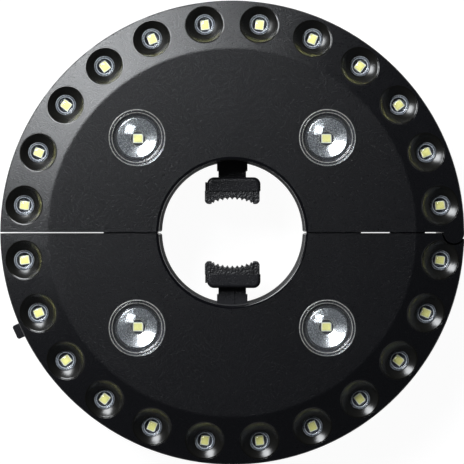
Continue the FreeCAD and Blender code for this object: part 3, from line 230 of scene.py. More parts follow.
class UL_Stage(bpy.types.PropertyGroup):
    """Camera, floor and lamps"""
    camera_right: length("Camera right", 2.0 * MM, "Camera's place right of the pole's axis")
    camera_up: length("Camera up", 3.0 * MM, "Camera's place above the pole's axis")
    camera_height: length("Camera height", 0.850, "Camera's distance above the back")
    view_width: length("View width", 194.8 * MM, "Width that the view takes in at the rim")
    rim_height: length("Rim height", 30.0 * MM, "Height of the outer rim")
    aim_right: length("Aim right", -0.08 * MM, "Middle of the view, right of the axis")
    aim_up: length("Aim up", 0.30 * MM, "Middle of the view, above the axis")
    key_power: amount("Key lamp", 18.0, "Power of the large soft lamp in watts")
    key_side: amount("Key side", 131.0, "Direction of the large lamp round the axis, degrees")
    key_tilt: amount("Key tilt", 50.0, "Angle of the large lamp off the axis, degrees")
    key_distance: length("Key distance", 1.0, "Distance of the large lamp")
    key_width: length("Key width", 0.62, "Width of the large lamp")
    key_depth: length("Key depth", 0.62, "Other side of the large lamp")
    fill_level: amount("Fill", 0.13, "Brightness of the surroundings at the horizon")
    fill_colour: colour("Fill colour", (0.86, 0.92, 1.0), "Colour of the surroundings")
    overhead_start: amount("Overhead start", 0.9, "Upward share at which overhead begins")
    overhead_level: amount("Overhead", 0.03, "Brightness of the surroundings overhead")
    key_colour: colour("Key colour", (0.95, 0.975, 1.0), "Colour of the large soft lamp")
    floor_glow: amount("Floor glow", 0.96, "Brightness that the floor adds in view")
    floor: colour("Floor", (0.11, 0.11, 0.11), "The floor's own colour, under that glow")
    floor_roughness: amount("Floor roughness", 0.9, "Roughness of the floor")
    floor_width: length("Floor width", 8.0, "Width of the floor")
    floor_gap: length("Floor gap", 0.2 * MM, "How far the floor lies below the back")


def finishes():
    return bpy.context.scene.ul_finishes


def stage_sizes():
    return bpy.context.scene.ul_stage


class Millimetres:
    """Reads the lengths of a group in millimetres, and its other numbers as they are."""

    def __init__(self, group):
        self.group = group

    def __getattr__(self, key):
        value = getattr(self.group, key)
        return value / MM if self.group.bl_rna.properties[key].subtype == "DISTANCE" else value


def light_sizes():
    return Millimetres(bpy.context.scene.ul_lights)


def grip_sizes():
    return Millimetres(bpy.context.scene.ul_grips)


def power_sizes():
    return Millimetres(bpy.context.scene.ul_power)


# ---------------------------------------------------------------- materials

class Nodes:
    """Short ways to add nodes to a tree and to set or link their inputs."""

    def __init__(self, tree):
        self.tree = tree

    def add(self, kind, settings=(), **inputs):
        node = self.tree.nodes.new(kind)
        for key, value in dict(settings).items():
            setattr(node, key, value)
        for key, value in inputs.items():
            self.feed(node, key, value)
        return node

    def feed(self, node, key, value):
        """Sets or links one input, given by its name or by i and its number."""
        numbered = key[0] == "i" and key[1:].isdigit()
        socket = node.inputs[int(key[1:]) if numbered else key.replace("_", " ")]
        if isinstance(value, bpy.types.NodeSocket):
            self.tree.links.new(value, socket)
        else:
            socket.default_value = value

    def maths(self, operation, *values):
        inputs = {f"i{index}": value for index, value in enumerate(values)}
        return self.add("ShaderNodeMath", {"operation": operation}, **inputs).outputs[0]


class Finish(Nodes):
    """A material under construction: its shader, its coordinates and its textures."""

    def __init__(self, name, base, roughness, **constants):
        self.material = bpy.data.materials.new(name)
        self.material.use_nodes = True
        super().__init__(self.material.node_tree)
        self.shader = self.tree.nodes["Principled BSDF"]
        self.surface(Base_Color=(*base, 1.0), Roughness=roughness, **constants)
        self.place = self.add("ShaderNodeTexCoord").outputs["Object"]

    def surface(self, **inputs):
        for key, value in inputs.items():
            self.feed(self.shader, key, value)
        return self

    def coat(self, tint, rough, texture, depth):
        """Links a colour, a roughness and a bump, and returns the material."""
        return self.surface(Base_Color=tint, Roughness=rough,
                            Normal=self.bump(texture, depth)).material

    def noise(self, size, detail=2.0, stretch=None):
        """Soft random grain whose lumps are about size metres across."""
        vector = self.place
        if stretch:
            vector = self.add("ShaderNodeMapping", Vector=self.place, Scale=stretch).outputs[0]
        node = self.add("ShaderNodeTexNoise", Vector=vector, Scale=1.0 / size, Detail=detail)
        return node.outputs["Fac"]

    def cells(self, size):
        node = self.add("ShaderNodeTexVoronoi", {"feature": "SMOOTH_F1"}, Vector=self.place,
                        Scale=1.0 / size, Smoothness=0.5)
        return node.outputs["Distance"]

    def spread(self, value, low, high, start=0.0, end=1.0):
        node = self.add("ShaderNodeMapRange", i0=value)
        for index, number in zip((1, 2, 3, 4), (start, end, low, high)):
            self.feed(node, f"i{index}", number)
        return node.outputs[0]

    def vary(self, noise, low, high):
        """A number that follows a noise from low to high."""
        return self.spread(noise, low, high, *NOISE_REACH)

    def mottle(self, noise, first, second):
        """Two shades, mixed by a noise."""
        return self.blend(self.vary(noise, 0.0, 1.0), first, second)

    def blend(self, share, first, second):
        node = self.add("ShaderNodeMix", {"data_type": "RGBA"})
        self.feed(node, "i0", share)
        for key, value in (("i6", first), ("i7", second)):
            linked = isinstance(value, bpy.types.NodeSocket)
            self.feed(node, key, value if linked else (*value, 1.0))
        return node.outputs[2]

    def bump(self, height, depth, strength=1.0, under=None):
        node = self.add("ShaderNodeBump", Height=height, Distance=depth, Strength=strength)
        if under is not None:
            self.feed(node, "Normal", under)
        return node.outputs[0]


def shade(base, factor):
    return tuple(channel * factor for channel in base)


def polished_bowls(finish):
    """1 on the walls and rounded rims of the ring's bowls, and 1 on those rims alone."""
    centre_radius, centre_height, ball_radius = bowl_ball()
    parts = finish.add("ShaderNodeSeparateXYZ", Vector=finish.place).outputs
    x, y, z = parts[0], parts[1], parts[2]
    angle = finish.maths("ARCTAN2", y, x)
    folded = finish.maths("SUBTRACT", finish.maths("PINGPONG", angle, LED_PITCH / 2),
                          LED_PITCH / 2)
    radius = finish.maths("SQRT", finish.maths(
        "ADD", finish.maths("MULTIPLY", x, x), finish.maths("MULTIPLY", y, y)))
    along = finish.maths("SUBTRACT", finish.maths(
        "MULTIPLY", radius, finish.maths("COSINE", folded)), centre_radius)
    across = finish.maths("MULTIPLY", radius, finish.maths("SINE", folded))
    up = finish.maths("SUBTRACT", z, centre_height)
    square = finish.maths("MULTIPLY", along, along)
    for part in (across, up):
        square = finish.maths("MULTIPLY_ADD", part, part, square)
    distance = finish.maths("SQRT", square)
    bowls = finish.spread(distance, 1.0, 0.0,
                           *(ball_radius + reach for reach in POLISH_FADE))
    beyond = finish.maths("GREATER_THAN", distance, ball_radius + RIM_START)
    return bowls, finish.maths("MULTIPLY", bowls, beyond)


def hole_wall(finish):
    """1 on the hole's upright wall, and 1 on its rounded edge at the face."""
    parts = finish.add("ShaderNodeSeparateXYZ", Vector=finish.place).outputs
    radius = finish.maths("SQRT", finish.maths(
        "MULTIPLY_ADD", parts[0], parts[0], finish.maths("MULTIPLY", parts[1], parts[1])))
    inside = finish.maths("LESS_THAN", radius, finishes().hole_radius + WALL_SKIN)
    near = finish.maths("LESS_THAN", radius, finishes().hole_radius + EDGE_WIDTH)
    high = finish.maths("GREATER_THAN", parts[2], EDGE_START)
    return (finish.maths("MULTIPLY", inside, finish.maths("SUBTRACT", 1.0, high)),
            finish.maths("MULTIPLY", near, high))


def bowl_ball():
    """Distance from the axis, height and radius of the balls that form the bowls."""
    slope = math.hypot(SLOPE_DROP, SLOPE_RUN)
    lift = math.sqrt(BOWL_BALL * BOWL_BALL - BOWL_RIM * BOWL_RIM)
    height = (FACE_HEIGHT - (BOWL_PLACE - FACE_RADIUS) * SLOPE_DROP / SLOPE_RUN
              + lift * SLOPE_RUN / slope)
    return (BOWL_PLACE + lift * SLOPE_DROP / slope) * MM, height * MM, BOWL_BALL * MM


def case_finish():
    sizes = finishes()
    finish = Finish("black_moulded_case", sizes.case, sizes.case_roughness, IOR=1.58)
    bowls, rims = polished_bowls(finish)
    grain = finish.noise(sizes.case_grain, 3.0)
    tint = finish.mottle(finish.noise(24 * MM), shade(sizes.case, 0.88), shade(sizes.case, 1.12))
    tint = finish.blend(bowls, tint, sizes.bowl)
    rough = finish.vary(grain, sizes.case_roughness - 0.05, sizes.case_roughness + 0.05)
    wall, edge = hole_wall(finish)
    for share, roughness in ((bowls, sizes.bowl_roughness), (wall, sizes.wall_roughness),
                             (edge, sizes.edge_roughness), (rims, sizes.edge_roughness)):
        rough = finish.add("ShaderNodeMix", {"data_type": "FLOAT"}, i0=share, i2=rough,
                           i3=roughness).outputs[0]
    smooth = finish.maths("MAXIMUM", bowls, edge)
    height = finish.maths("MULTIPLY", grain, finish.maths("SUBTRACT", 1.0, smooth))
    normal = finish.bump(height, sizes.grain_depth)
    return finish.surface(Base_Color=tint, Roughness=rough, Normal=normal).material


def plastic_finish(name, base, roughness, grain, depth):
    finish = Finish(name, base, roughness, IOR=1.5)
    texture = finish.noise(grain, 3.0)
    tint = finish.mottle(finish.noise(9 * MM), shade(base, 0.85), shade(base, 1.15))
    rough = finish.vary(texture, roughness - 0.06, roughness + 0.06)
    return finish.coat(tint, rough, texture, depth)


def rubber_finish():
    base = finishes().rubber
    finish = Finish("pebbled_rubber", base, 0.62, IOR=1.5)
    pebbles = finish.cells(0.75 * MM)
    # Painted highlight and painted shade: the pebbles' tops are lighter and the hollows between
    # them darker.
    tint = finish.blend(finish.spread(pebbles, 0.0, 1.0, 0.1, 0.7), shade(base, 1.5),
                        shade(base, 0.6))
    fine = finish.bump(finish.noise(0.2 * MM), 0.02 * MM)
    normal = finish.bump(finish.maths("SUBTRACT", 1.0, pebbles), 0.23 * MM, under=fine)
    rough = finish.spread(pebbles, 0.3, 0.6)
    return finish.surface(Base_Color=tint, Roughness=rough, Normal=normal).material


def clear_finish(name, passing, roughness):
    """Clear plastic that lets light through to what lies behind it."""
    finish = Finish(name, finishes().clear, roughness, IOR=1.49, Transmission_Weight=passing)
    ripple = finish.bump(finish.noise(3.5 * MM, 1.0), 0.02 * MM, 0.6)
    rough = finish.vary(finish.noise(1.2 * MM), roughness * 0.6, roughness * 1.6)
    shadow = finish.add("ShaderNodeLightPath").outputs["Is Shadow Ray"]
    solid = finish.maths("SUBTRACT", 1.0, finish.maths("MULTIPLY", shadow, 0.92))
    return finish.surface(Roughness=rough, Normal=ripple, Alpha=solid).material


def frosted_sheen_finish(name, base):
    """Textured edge of a clear moulding, whose pale base colour is painted sheen for the glints of
    a clear edge.
    """
    finish = Finish(name, base, 0.32, IOR=1.49, Transmission_Weight=0.45)
    texture = finish.noise(0.6 * MM)
    tint = finish.mottle(texture, shade(base, 0.7), base)
    return finish.coat(tint, finish.vary(texture, 0.22, 0.42), texture, 0.05 * MM)


def cup_finish():
    base = finishes().cup
    finish = Finish("plated_cup", base, 0.25, Metallic=1.0)
    soft = finish.noise(3.0 * MM, 1.0)
    tint = finish.mottle(soft, shade(base, 0.94), base)
    return finish.coat(tint, finish.vary(finish.noise(0.5 * MM), 0.2, 0.3), soft, 0.14 * MM)


def mask_finish(name, base, line):
    """Solder mask over faint tracks."""
    finish = Finish(name, base, 0.28, IOR=1.5)
    share = finish.spread(finish.noise(6 * MM, 0.0), 0.0, 1.0, 0.47, 0.5)
    tint = finish.blend(share, base, line)
    normal = finish.bump(share, 0.03 * MM, under=finish.bump(finish.noise(0.3 * MM), 0.01 * MM))
    rough = finish.vary(finish.noise(0.8 * MM), 0.22, 0.34)
    return finish.surface(Base_Color=tint, Roughness=rough, Normal=normal).material


def package_finish():
    base = finishes().package
    finish = Finish("led_package", base, 0.38, IOR=1.5)
    speck = finish.noise(0.25 * MM)
    tint = finish.mottle(speck, shade(base, 0.93), base)
    return finish.coat(tint, finish.spread(speck, 0.32, 0.44), speck, 0.01 * MM)


def phosphor_finish():
    """Silicone filled with phosphor, paler towards its rim."""
    base = finishes().phosphor
    finish = Finish("led_phosphor", base, 0.30, IOR=1.42)
    rim = finish.add("ShaderNodeAttribute", {"attribute_name": "rim"}).outputs["Fac"]
    grain = finish.noise(0.3 * MM, 3.0)
    tint = finish.mottle(grain, shade(base, 0.93), base)
    tint = finish.blend(rim, tint, finishes().phosphor_rim)
    return finish.coat(tint, finish.spread(grain, 0.24, 0.36), grain, 0.01 * MM)


def steel_finish(name, base, roughness, brush):
    """Plated steel with faint drawing marks along one way."""
    finish = Finish(name, base, roughness, Metallic=1.0)
    marks = finish.noise(0.25 * MM, stretch=brush)
    tint = finish.mottle(marks, shade(base, 0.85), base)
    rough = finish.vary(marks, roughness - 0.07, roughness + 0.07)
    return finish.coat(tint, rough, marks, 0.01 * MM)


def sleeve_finish():
    base = finishes().sleeve
    finish = Finish("cell_sleeve", base, 0.25, IOR=1.5, Coat_Weight=0.4, Coat_Roughness=0.08)
    ripple = finish.noise(5 * MM, 1.0, stretch=(0.2, 1, 1))
    tint = finish.mottle(finish.noise(12 * MM), shade(base, 0.8), base)
    return finish.coat(tint, finish.spread(ripple, 0.2, 0.3), ripple, 0.05 * MM)


MATERIALS = {}


def make_materials():
    sizes = finishes()
    MATERIALS.update(
        case=case_finish(),
        door=plastic_finish("black_moulded_door", sizes.case, 0.42, 0.45 * MM, 0.03 * MM),
        pad_plastic=plastic_finish("satin_black_carrier", sizes.pad, 0.32, 0.5 * MM, 0.13 * MM),
        button_plastic=plastic_finish("satin_black_button", sizes.button, 0.3, 0.4 * MM, 0.01 * MM),
        rubber=rubber_finish(),
        clear=clear_finish("clear_lens", 1.0, 0.015),
        cover=clear_finish("clear_cover", 0.985, 0.05),
        # Painted sheen and painted highlight: pale colours on the plugs' rims and the covers'
        # ridges stand in for the glints of clear edges.
        frosted=frosted_sheen_finish("frosted_lens", sizes.frosted),
        ridge=frosted_sheen_finish("frosted_ridge", sizes.ridge),
        cup=cup_finish(),
        board=mask_finish("black_solder_mask", sizes.mask, shade(sizes.mask, 1.5)),
        control=mask_finish("green_solder_mask", sizes.control, shade(sizes.control, 0.6)),
        led_body=package_finish(),
        phosphor=phosphor_finish(),
        steel=steel_finish("plated_steel", sizes.steel, 0.28, (1, 1, 0.1)),
        spring_steel=steel_finish("spring_wire", sizes.steel, 0.22, (0.2, 1, 1)),
        cell_wrap=sleeve_finish(),
        lead=plastic_finish("lead_insulation", sizes.lead, 0.45, 0.3 * MM, 0.005 * MM),
    )


def paint(name, slot):
    """Gives a carried-over node its finish."""
    node = NODES[name]
    node.data.materials.clear()
    node.data.materials.append(MATERIALS[slot])


def paint_halves(names, slot):
    for half in HALVES:
        for name in names:
            paint(f"{half}_{name}", slot)


# ---------------------------------------------------------------- meshes

def finished_mesh(bm, name):
    """A mesh from millimetre coordinates, with its doubles merged and its faces outwards."""
    bmesh.ops.remove_doubles(bm, verts=bm.verts, dist=1e-4)
    bmesh.ops.recalc_face_normals(bm, faces=bm.faces)
    bmesh.ops.scale(bm, vec=(MM, MM, MM), verts=bm.verts)
    mesh = bpy.data.meshes.new(name)
    bm.to_mesh(mesh)
    bm.free()
    return mesh


def lathe(bm, profile, steps, matrix=Matrix(), material=0):
    """Turns a closed profile of (radius, height) points about Z and adds it to the mesh."""
    rings = []
    for step in range(steps):
        turn = Matrix.Rotation(math.tau * step / steps, 4, "Z")
        rings.append([bm.verts.new(matrix @ turn @ Vector((radius, 0, height)))
                      for radius, height in profile])
    count = len(profile)
    for step in range(steps):
        ring, following = rings[step], rings[(step + 1) % steps]
        for index in range(count):
            ahead = (index + 1) % count
            if profile[index][0] < 1e-6 and profile[ahead][0] < 1e-6:
                continue
            face = bm.faces.new((ring[index], following[index], following[ahead], ring[ahead]))
            face.smooth = True
            face.material_index = material


def rounded_block(bm, low, high, edge, segments, material=0):
    """A block between two corners with rounded edges."""
    low, high = Vector(low), Vector(high)
    made = bmesh.ops.create_cube(bm, size=1.0)["verts"]
    spread = Matrix.Diagonal((*(high - low), 1.0))
    bmesh.ops.transform(bm, matrix=Matrix.Translation((low + high) / 2) @ spread, verts=made)
    edges = list({item for vert in made for item in vert.link_edges})
    faces = list({item for vert in made for item in vert.link_faces})
    for face in faces:
        face.material_index = material
    bmesh.ops.bevel(bm, geom=edges, offset=edge, segments=segments, affect="EDGES", profile=0.5,
                    clamp_overlap=True, material=material)


def half_turn(half):
    return Matrix.Rotation(TURN[half], 4, "Z")


def piece(name, mesh, body, nodes, materials=()):
    """Puts a finished mesh in place of CAD nodes, on the body that carries it if there is one."""
    thing = bpy.data.objects.new(name, mesh)
    bpy.context.scene.collection.objects.link(thing)
    for material in materials:
        mesh.materials.append(material)
    if body:
        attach(thing, body)
    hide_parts(*nodes)
    return thing


# ---------------------------------------------------------------- geometry nodes

class Tree(Nodes):
    """A geometry node tree under construction, with named inputs."""

    def __init__(self, name, **inputs):
        super().__init__(bpy.data.node_groups.new(name, "GeometryNodeTree"))
        self.keys = {}
        self.names = {}
        for key, (kind, label) in inputs.items():
            socket = self.tree.interface.new_socket(label, in_out="INPUT", socket_type=kind)
            self.keys[key] = socket.identifier
            self.names[key] = label
        self.tree.interface.new_socket("Geometry", in_out="OUTPUT",
                                       socket_type="NodeSocketGeometry")
        self.start = self.tree.nodes.new("NodeGroupInput")

    def given(self, key):
        return self.start.outputs[self.names[key]]

    def made(self, kind, settings=(), **inputs):
        return self.add(kind, settings, **inputs).outputs

    def finish(self, geometry):
        """Ends the tree: real geometry, one finish for the body and one for its trim."""
        real = self.made("GeometryNodeRealizeInstances", Geometry=geometry)[0]
        main = self.made("GeometryNodeSetMaterial", Geometry=real,
                        Material=self.given("material"))[0]
        trim = self.made("GeometryNodeInputNamedAttribute", {"data_type": "BOOLEAN"}, Name="trim")
        chosen = self.made("GeometryNodeSetMaterial", Geometry=main, Selection=trim["Attribute"],
                          Material=self.given("trim"))[0]
        end = self.tree.nodes.new("NodeGroupOutput")
        self.tree.links.new(chosen, end.inputs[0])
        return self

    def run(self, name, mesh, **values):
        """Runs the tree on a mesh and returns the result as a plain mesh."""
        carrier = bpy.data.objects.new(name + "_maker", mesh)
        bpy.context.scene.collection.objects.link(carrier)
        modifier = carrier.modifiers.new("repeat", "NODES")
        modifier.node_group = self.tree
        for key, value in values.items():
            modifier[self.keys[key]] = value
        carrier.update_tag()
        evaluated = carrier.evaluated_get(bpy.context.evaluated_depsgraph_get())
        result = bpy.data.meshes.new_from_object(evaluated)
        result.name = name
        bpy.data.objects.remove(carrier)
        return result


FINISH_INPUTS = {"material": ("NodeSocketMaterial", "Finish"),
                 "trim": ("NodeSocketMaterial", "Trim finish")}


def ring_tree():
    """Repeats a small piece round the pole's axis, each turned to face it."""
    tree = Tree("ring_repeat", geometry=("NodeSocketGeometry", "Piece"),
                count=("NodeSocketInt", "Count"), radius=("NodeSocketFloat", "Ring radius"),
                height=("NodeSocketFloat", "Height"), first=("NodeSocketFloat", "First angle"),
                pitch=("NodeSocketFloat", "Pitch"), **FINISH_INPUTS)
    index = tree.made("GeometryNodeInputIndex")[0]
    angle = tree.maths("MULTIPLY_ADD", index, tree.given("pitch"), tree.given("first"))
    across = tree.maths("MULTIPLY", tree.maths("COSINE", angle), tree.given("radius"))
    up = tree.maths("MULTIPLY", tree.maths("SINE", angle), tree.given("radius"))
    place = tree.made("ShaderNodeCombineXYZ", X=across, Y=up, Z=tree.given("height"))[0]
    points = tree.made("GeometryNodePoints", Count=tree.given("count"), Position=place)[0]
    turn = tree.made("ShaderNodeCombineXYZ", Z=angle)[0]
    return tree.finish(tree.made("GeometryNodeInstanceOnPoints", Points=points,
                                Instance=tree.given("geometry"), Rotation=turn)[0])


def places_tree():
    """Sets a small piece on every point of the carrier mesh."""
    tree = Tree("set_on_places", geometry=("NodeSocketGeometry", "Places"),
                piece=("NodeSocketObject", "Piece"), **FINISH_INPUTS)
    source = tree.made("GeometryNodeObjectInfo", Object=tree.given("piece"))["Geometry"]
    turn = tree.made("GeometryNodeInputNamedAttribute", {"data_type": "FLOAT"}, Name="turn")
    spun = tree.made("ShaderNodeCombineXYZ", Z=turn["Attribute"])[0]
    return tree.finish(tree.made("GeometryNodeInstanceOnPoints", Points=tree.given("geometry"),
                                Instance=source, Rotation=spun)[0])


def coil_tree():
    """A coil of round wire that climbs along Z."""
    tree = Tree("wire_coil", geometry=("NodeSocketGeometry", "Unused carrier"),
                turns=("NodeSocketFloat", "Turns"), radius=("NodeSocketFloat", "Coil radius"),
                wire=("NodeSocketFloat", "Wire radius"), height=("NodeSocketFloat", "Length"),
                **FINISH_INPUTS)
    spiral = tree.made("GeometryNodeCurveSpiral", Resolution=24, Rotations=tree.given("turns"),
                      Start_Radius=tree.given("radius"), End_Radius=tree.given("radius"),
                      Height=tree.given("height"))[0]
    section = tree.made("GeometryNodeCurvePrimitiveCircle", {"mode": "RADIUS"}, Resolution=8,
                       Radius=tree.given("wire"))[0]
    tube = tree.made("GeometryNodeCurveToMesh", Curve=spiral, Profile_Curve=section,
                    Fill_Caps=True)[0]
    smooth = tree.made("GeometryNodeSetShadeSmooth", Geometry=tube)[0]
    return tree.finish(smooth)


# ---------------------------------------------------------------- small pieces

def led_package():
    """White moulded package with a well, a marked corner and a solder tab at each end."""
    sizes = light_sizes()
    long, wide, tall = sizes.led_length, sizes.led_width, sizes.led_height
    frame, well, marked_corner = sizes.led_frame, sizes.led_well, 0.5
    bm = bmesh.new()
    outer = [(long / 2, -wide / 2), (long / 2, wide / 2 - marked_corner),
             (long / 2 - marked_corner, wide / 2),
             (-long / 2, wide / 2), (-long / 2, -wide / 2)]
    inner = [(x - math.copysign(frame, x), y - math.copysign(frame, y)) for x, y in outer]
    rows = [(outer, 0.0), (outer, tall - 0.1), (shrunk(outer, 0.08), tall),
            (shrunk(inner, -0.04), tall), (inner, tall - 0.06), (shrunk(inner, 0.1), tall - well)]
    rings = [[bm.verts.new((x, y, height)) for x, y in points] for points, height in rows]
    for ring, following in zip(rings, rings[1:]):
        for index in range(len(outer)):
            ahead = (index + 1) % len(outer)
            bm.faces.new((ring[index], ring[ahead], following[ahead], following[index]))
    bm.faces.new(rings[0])
    bm.faces.new(rings[-1])
    for sign in (1, -1):
        near, far = sorted((sign * (long / 2 - 0.3), sign * (long / 2 + 0.05)))
        rounded_block(bm, (near, -wide * 0.32, 0.0), (far, wide * 0.32, 0.22), 0.04, 1,
                      material=1)
    return bm


def shrunk(points, inset):
    """Points moved towards the middle, the same amount each way."""
    return [(x - math.copysign(inset, x), y - math.copysign(inset, y)) for x, y in points]


def led_phosphor():
    """Yellow silicone that fills the package's well and swells a little in the middle."""
    sizes = light_sizes()
    long = sizes.led_length / 2 - sizes.led_frame - 0.03
    wide = sizes.led_width / 2 - sizes.led_frame - 0.03
    steps = 10
    bm = bmesh.new()
    rim = bm.verts.layers.float.new("rim")
    rows = []
    for row in range(steps + 1):
        line = []
        for column in range(steps + 1):
            u, v = row / steps * 2 - 1, column / steps * 2 - 1
            square = max(abs(u), abs(v))
            round_share = math.hypot(u, v) / math.sqrt(2)
            height = sizes.led_height - 0.08 + 0.16 * (1 - square ** 3)
            pull = 1 - 0.06 * (round_share - square * 0.75)
            vert = bm.verts.new((u * long * pull, v * wide * pull, height))
            vert[rim] = max(0.0, (square - 0.8) / 0.2)
            line.append(vert)
        rows.append(line)
    for row in range(steps):
        for column in range(steps):
            face = bm.faces.new((rows[row][column], rows[row + 1][column],
                                 rows[row + 1][column + 1], rows[row][column + 1]))
            face.smooth = True
    edge = ([rows[0][column] for column in range(steps)]
            + [rows[row][steps] for row in range(steps)]
            + [rows[steps][column] for column in range(steps, 0, -1)]
            + [rows[row][0] for row in range(steps, 0, -1)])
    foot = []
    for vert in edge:
        below = bm.verts.new((vert.co.x, vert.co.y, sizes.led_height - sizes.led_well))
        below[rim] = 1.0
        foot.append(below)
    for index, vert in enumerate(edge):
        ahead = (index + 1) % len(edge)
        bm.faces.new((vert, edge[ahead], foot[ahead], foot[index]))
    bm.faces.new(foot)
    return bm


def ring_lens():
    """Small clear plug: a flat window inside a ridged rim with frost texture and painted silvery
    sheen, and a hollow foot.
    """
    sizes = light_sizes()
    outer, foot, seat = sizes.plug_radius, sizes.plug_foot, sizes.plug_seat
    top = seat + sizes.plug_rise
    window = sizes.window_radius
    bm = bmesh.new()
    profile = [(0, top - 1.5), (window - 0.3, top - 1.5), (window, top - 1.8),
               (window + 0.1, foot), (outer + 0.85, foot), (outer + 0.85, seat), (outer, seat),
               (outer, top - 0.4), (outer - 0.1, top - 0.12), (outer - 0.3, top),
               (outer - 0.5, top - 0.14), (outer - 0.65, top - 0.3), (outer - 0.8, top - 0.14),
               (outer - 0.95, top - 0.2), (window, top - 0.5), (window - 0.25, top - 0.55),
               (0, top - 0.55)]
    lathe(bm, profile, 40)
    for face in bm.faces:
        middle = face.calc_center_median()
        reach = math.hypot(middle.x, middle.y)
        # These rim faces get the trim finish, whose pale colour is painted sheen.
        if middle.z > seat and window < reach and not outer - 0.72 < reach < outer - 0.4:
            face.material_index = 1
    return bm


def spot_lens():
    """Large clear cover: two ridges round a flat ring, and a thin dome over the cup."""
    sizes = light_sizes()
    outer, seat, lip = sizes.cover_radius, sizes.cover_seat, sizes.cover_lip
    dome, ball, skin = sizes.dome_radius, sizes.dome_ball, sizes.cover_skin
    drop = math.sqrt(ball * ball - dome * dome)
    flat = lip - 0.2
    profile = [(outer - 2.6, seat - 0.9), (outer + 1.2, seat - 0.9), (outer + 1.2, seat),
               (outer, seat), (outer, lip - 0.3), (outer - 0.12, lip - 0.08),
               (outer - 0.35, lip), (outer - 0.55, lip - 0.1), (outer - 0.7, lip - 0.4),
               (outer - 0.95, lip - 0.45), (outer - 1.1, lip - 0.1), (outer - 1.3, lip + 0.08),
               (outer - 1.5, lip - 0.02), (outer - 1.75, flat - 0.1), (dome + 0.9, flat - 0.12),
               (dome + 0.3, flat - 0.05)]
    under = []
    for step in range(15):
        reach = dome * (1 - step / 14)
        lift = math.sqrt(ball * ball - reach * reach) - drop
        profile.append((reach, flat + lift))
        under.append((reach * 0.94, flat - skin + lift))
    profile += reversed(under)
    profile.append((outer - 2.6, flat - skin))
    bm = bmesh.new()
    lathe(bm, profile, 72)
    for face in bm.faces:
        middle = face.calc_center_median()
        reach = math.hypot(middle.x, middle.y)
        # The ridge tops get the trim finish, a pale colour painted as thin highlight lines.
        for ridge in (outer - 0.2, outer - 1.35):
            if middle.z > lip - 0.2 and abs(reach - ridge) < 0.12:
                face.material_index = 1
    return bm


def spot_cup():
    """Plated cup: a flange, an open conical wall and a short tube down to the board."""
    sizes = light_sizes()
    mouth, throat = sizes.cup_radius, sizes.cup_throat
    board, top = sizes.board_top, sizes.cup_top
    skin = 0.6
    low = board + 1.05
    profile = [(throat, board), (throat - 0.02, low - 0.12), (throat + 0.15, low)]
    for step in range(1, 9):
        share = step / 8
        profile.append((throat + (mouth - throat) * share,
                        low + (top - 0.1 - low) * (0.88 * share + 0.12 * share * share)))
    profile += [(mouth + 0.15, top), (mouth + 1.1, top), (mouth + 1.2, top - 0.1),
                (mouth + 1.2, top - skin), (mouth + 0.2, top - skin),
                (throat + skin, low - skin), (throat + skin, board)]
    bm = bmesh.new()
    lathe(bm, profile, 64)
    return bm


def around_ring(tree, bm, name, half, radius, height, finishes_used):
    """Repeats a small piece in the twelve places of one half's ring."""
    mesh = finished_mesh(bm, name + "_one")
    mark_trim(mesh)
    main, trim = finishes_used
    return tree.run(f"{half}_{name}", mesh, count=LED_COUNT, radius=radius * MM,
                    height=height * MM, first=TURN[half] + LED_PITCH / 2,
                    pitch=LED_PITCH, material=MATERIALS[main], trim=MATERIALS[trim])


def mark_trim(mesh):
    """Marks the faces of the second material slot, which get the trim finish."""
    marks = mesh.attributes.new("trim", "BOOLEAN", "FACE")
    for face, item in zip(mesh.polygons, marks.data):
        item.value = face.material_index == 1
        face.material_index = 0


def on_places(tree, bm, name, places, finishes_used):
    """Sets a small piece on (x, y, z, turn) places, in millimetres."""
    mesh = finished_mesh(bm, name + "_one")
    mark_trim(mesh)
    model = bpy.data.objects.new(name + "_model", mesh)
    carrier = bpy.data.meshes.new(name + "_places")
    carrier.from_pydata([Vector(place[:3]) * MM for place in places], [], [])
    turns = carrier.attributes.new("turn", "FLOAT", "POINT")
    for place, item in zip(places, turns.data):
        item.value = place[3]
    main, trim = finishes_used
    result = tree.run(name, carrier, piece=model, material=MATERIALS[main],
                      trim=MATERIALS[trim])
    bpy.data.objects.remove(model)
    return result


def case_places(half, spots, height):
    """Places of one half: the given x and y, and their mirror images, turned with the half."""
    turn = half_turn(half)
    places = []
    for index, (x, y) in enumerate(spots):
        for sign in (1, -1):
            place = turn @ Vector((x * sign, y, height))
            # Every cross ends at an angle of its own, as tightened screws do.
            places.append((*place, 0.7 * index + 0.35 * sign))
    return places


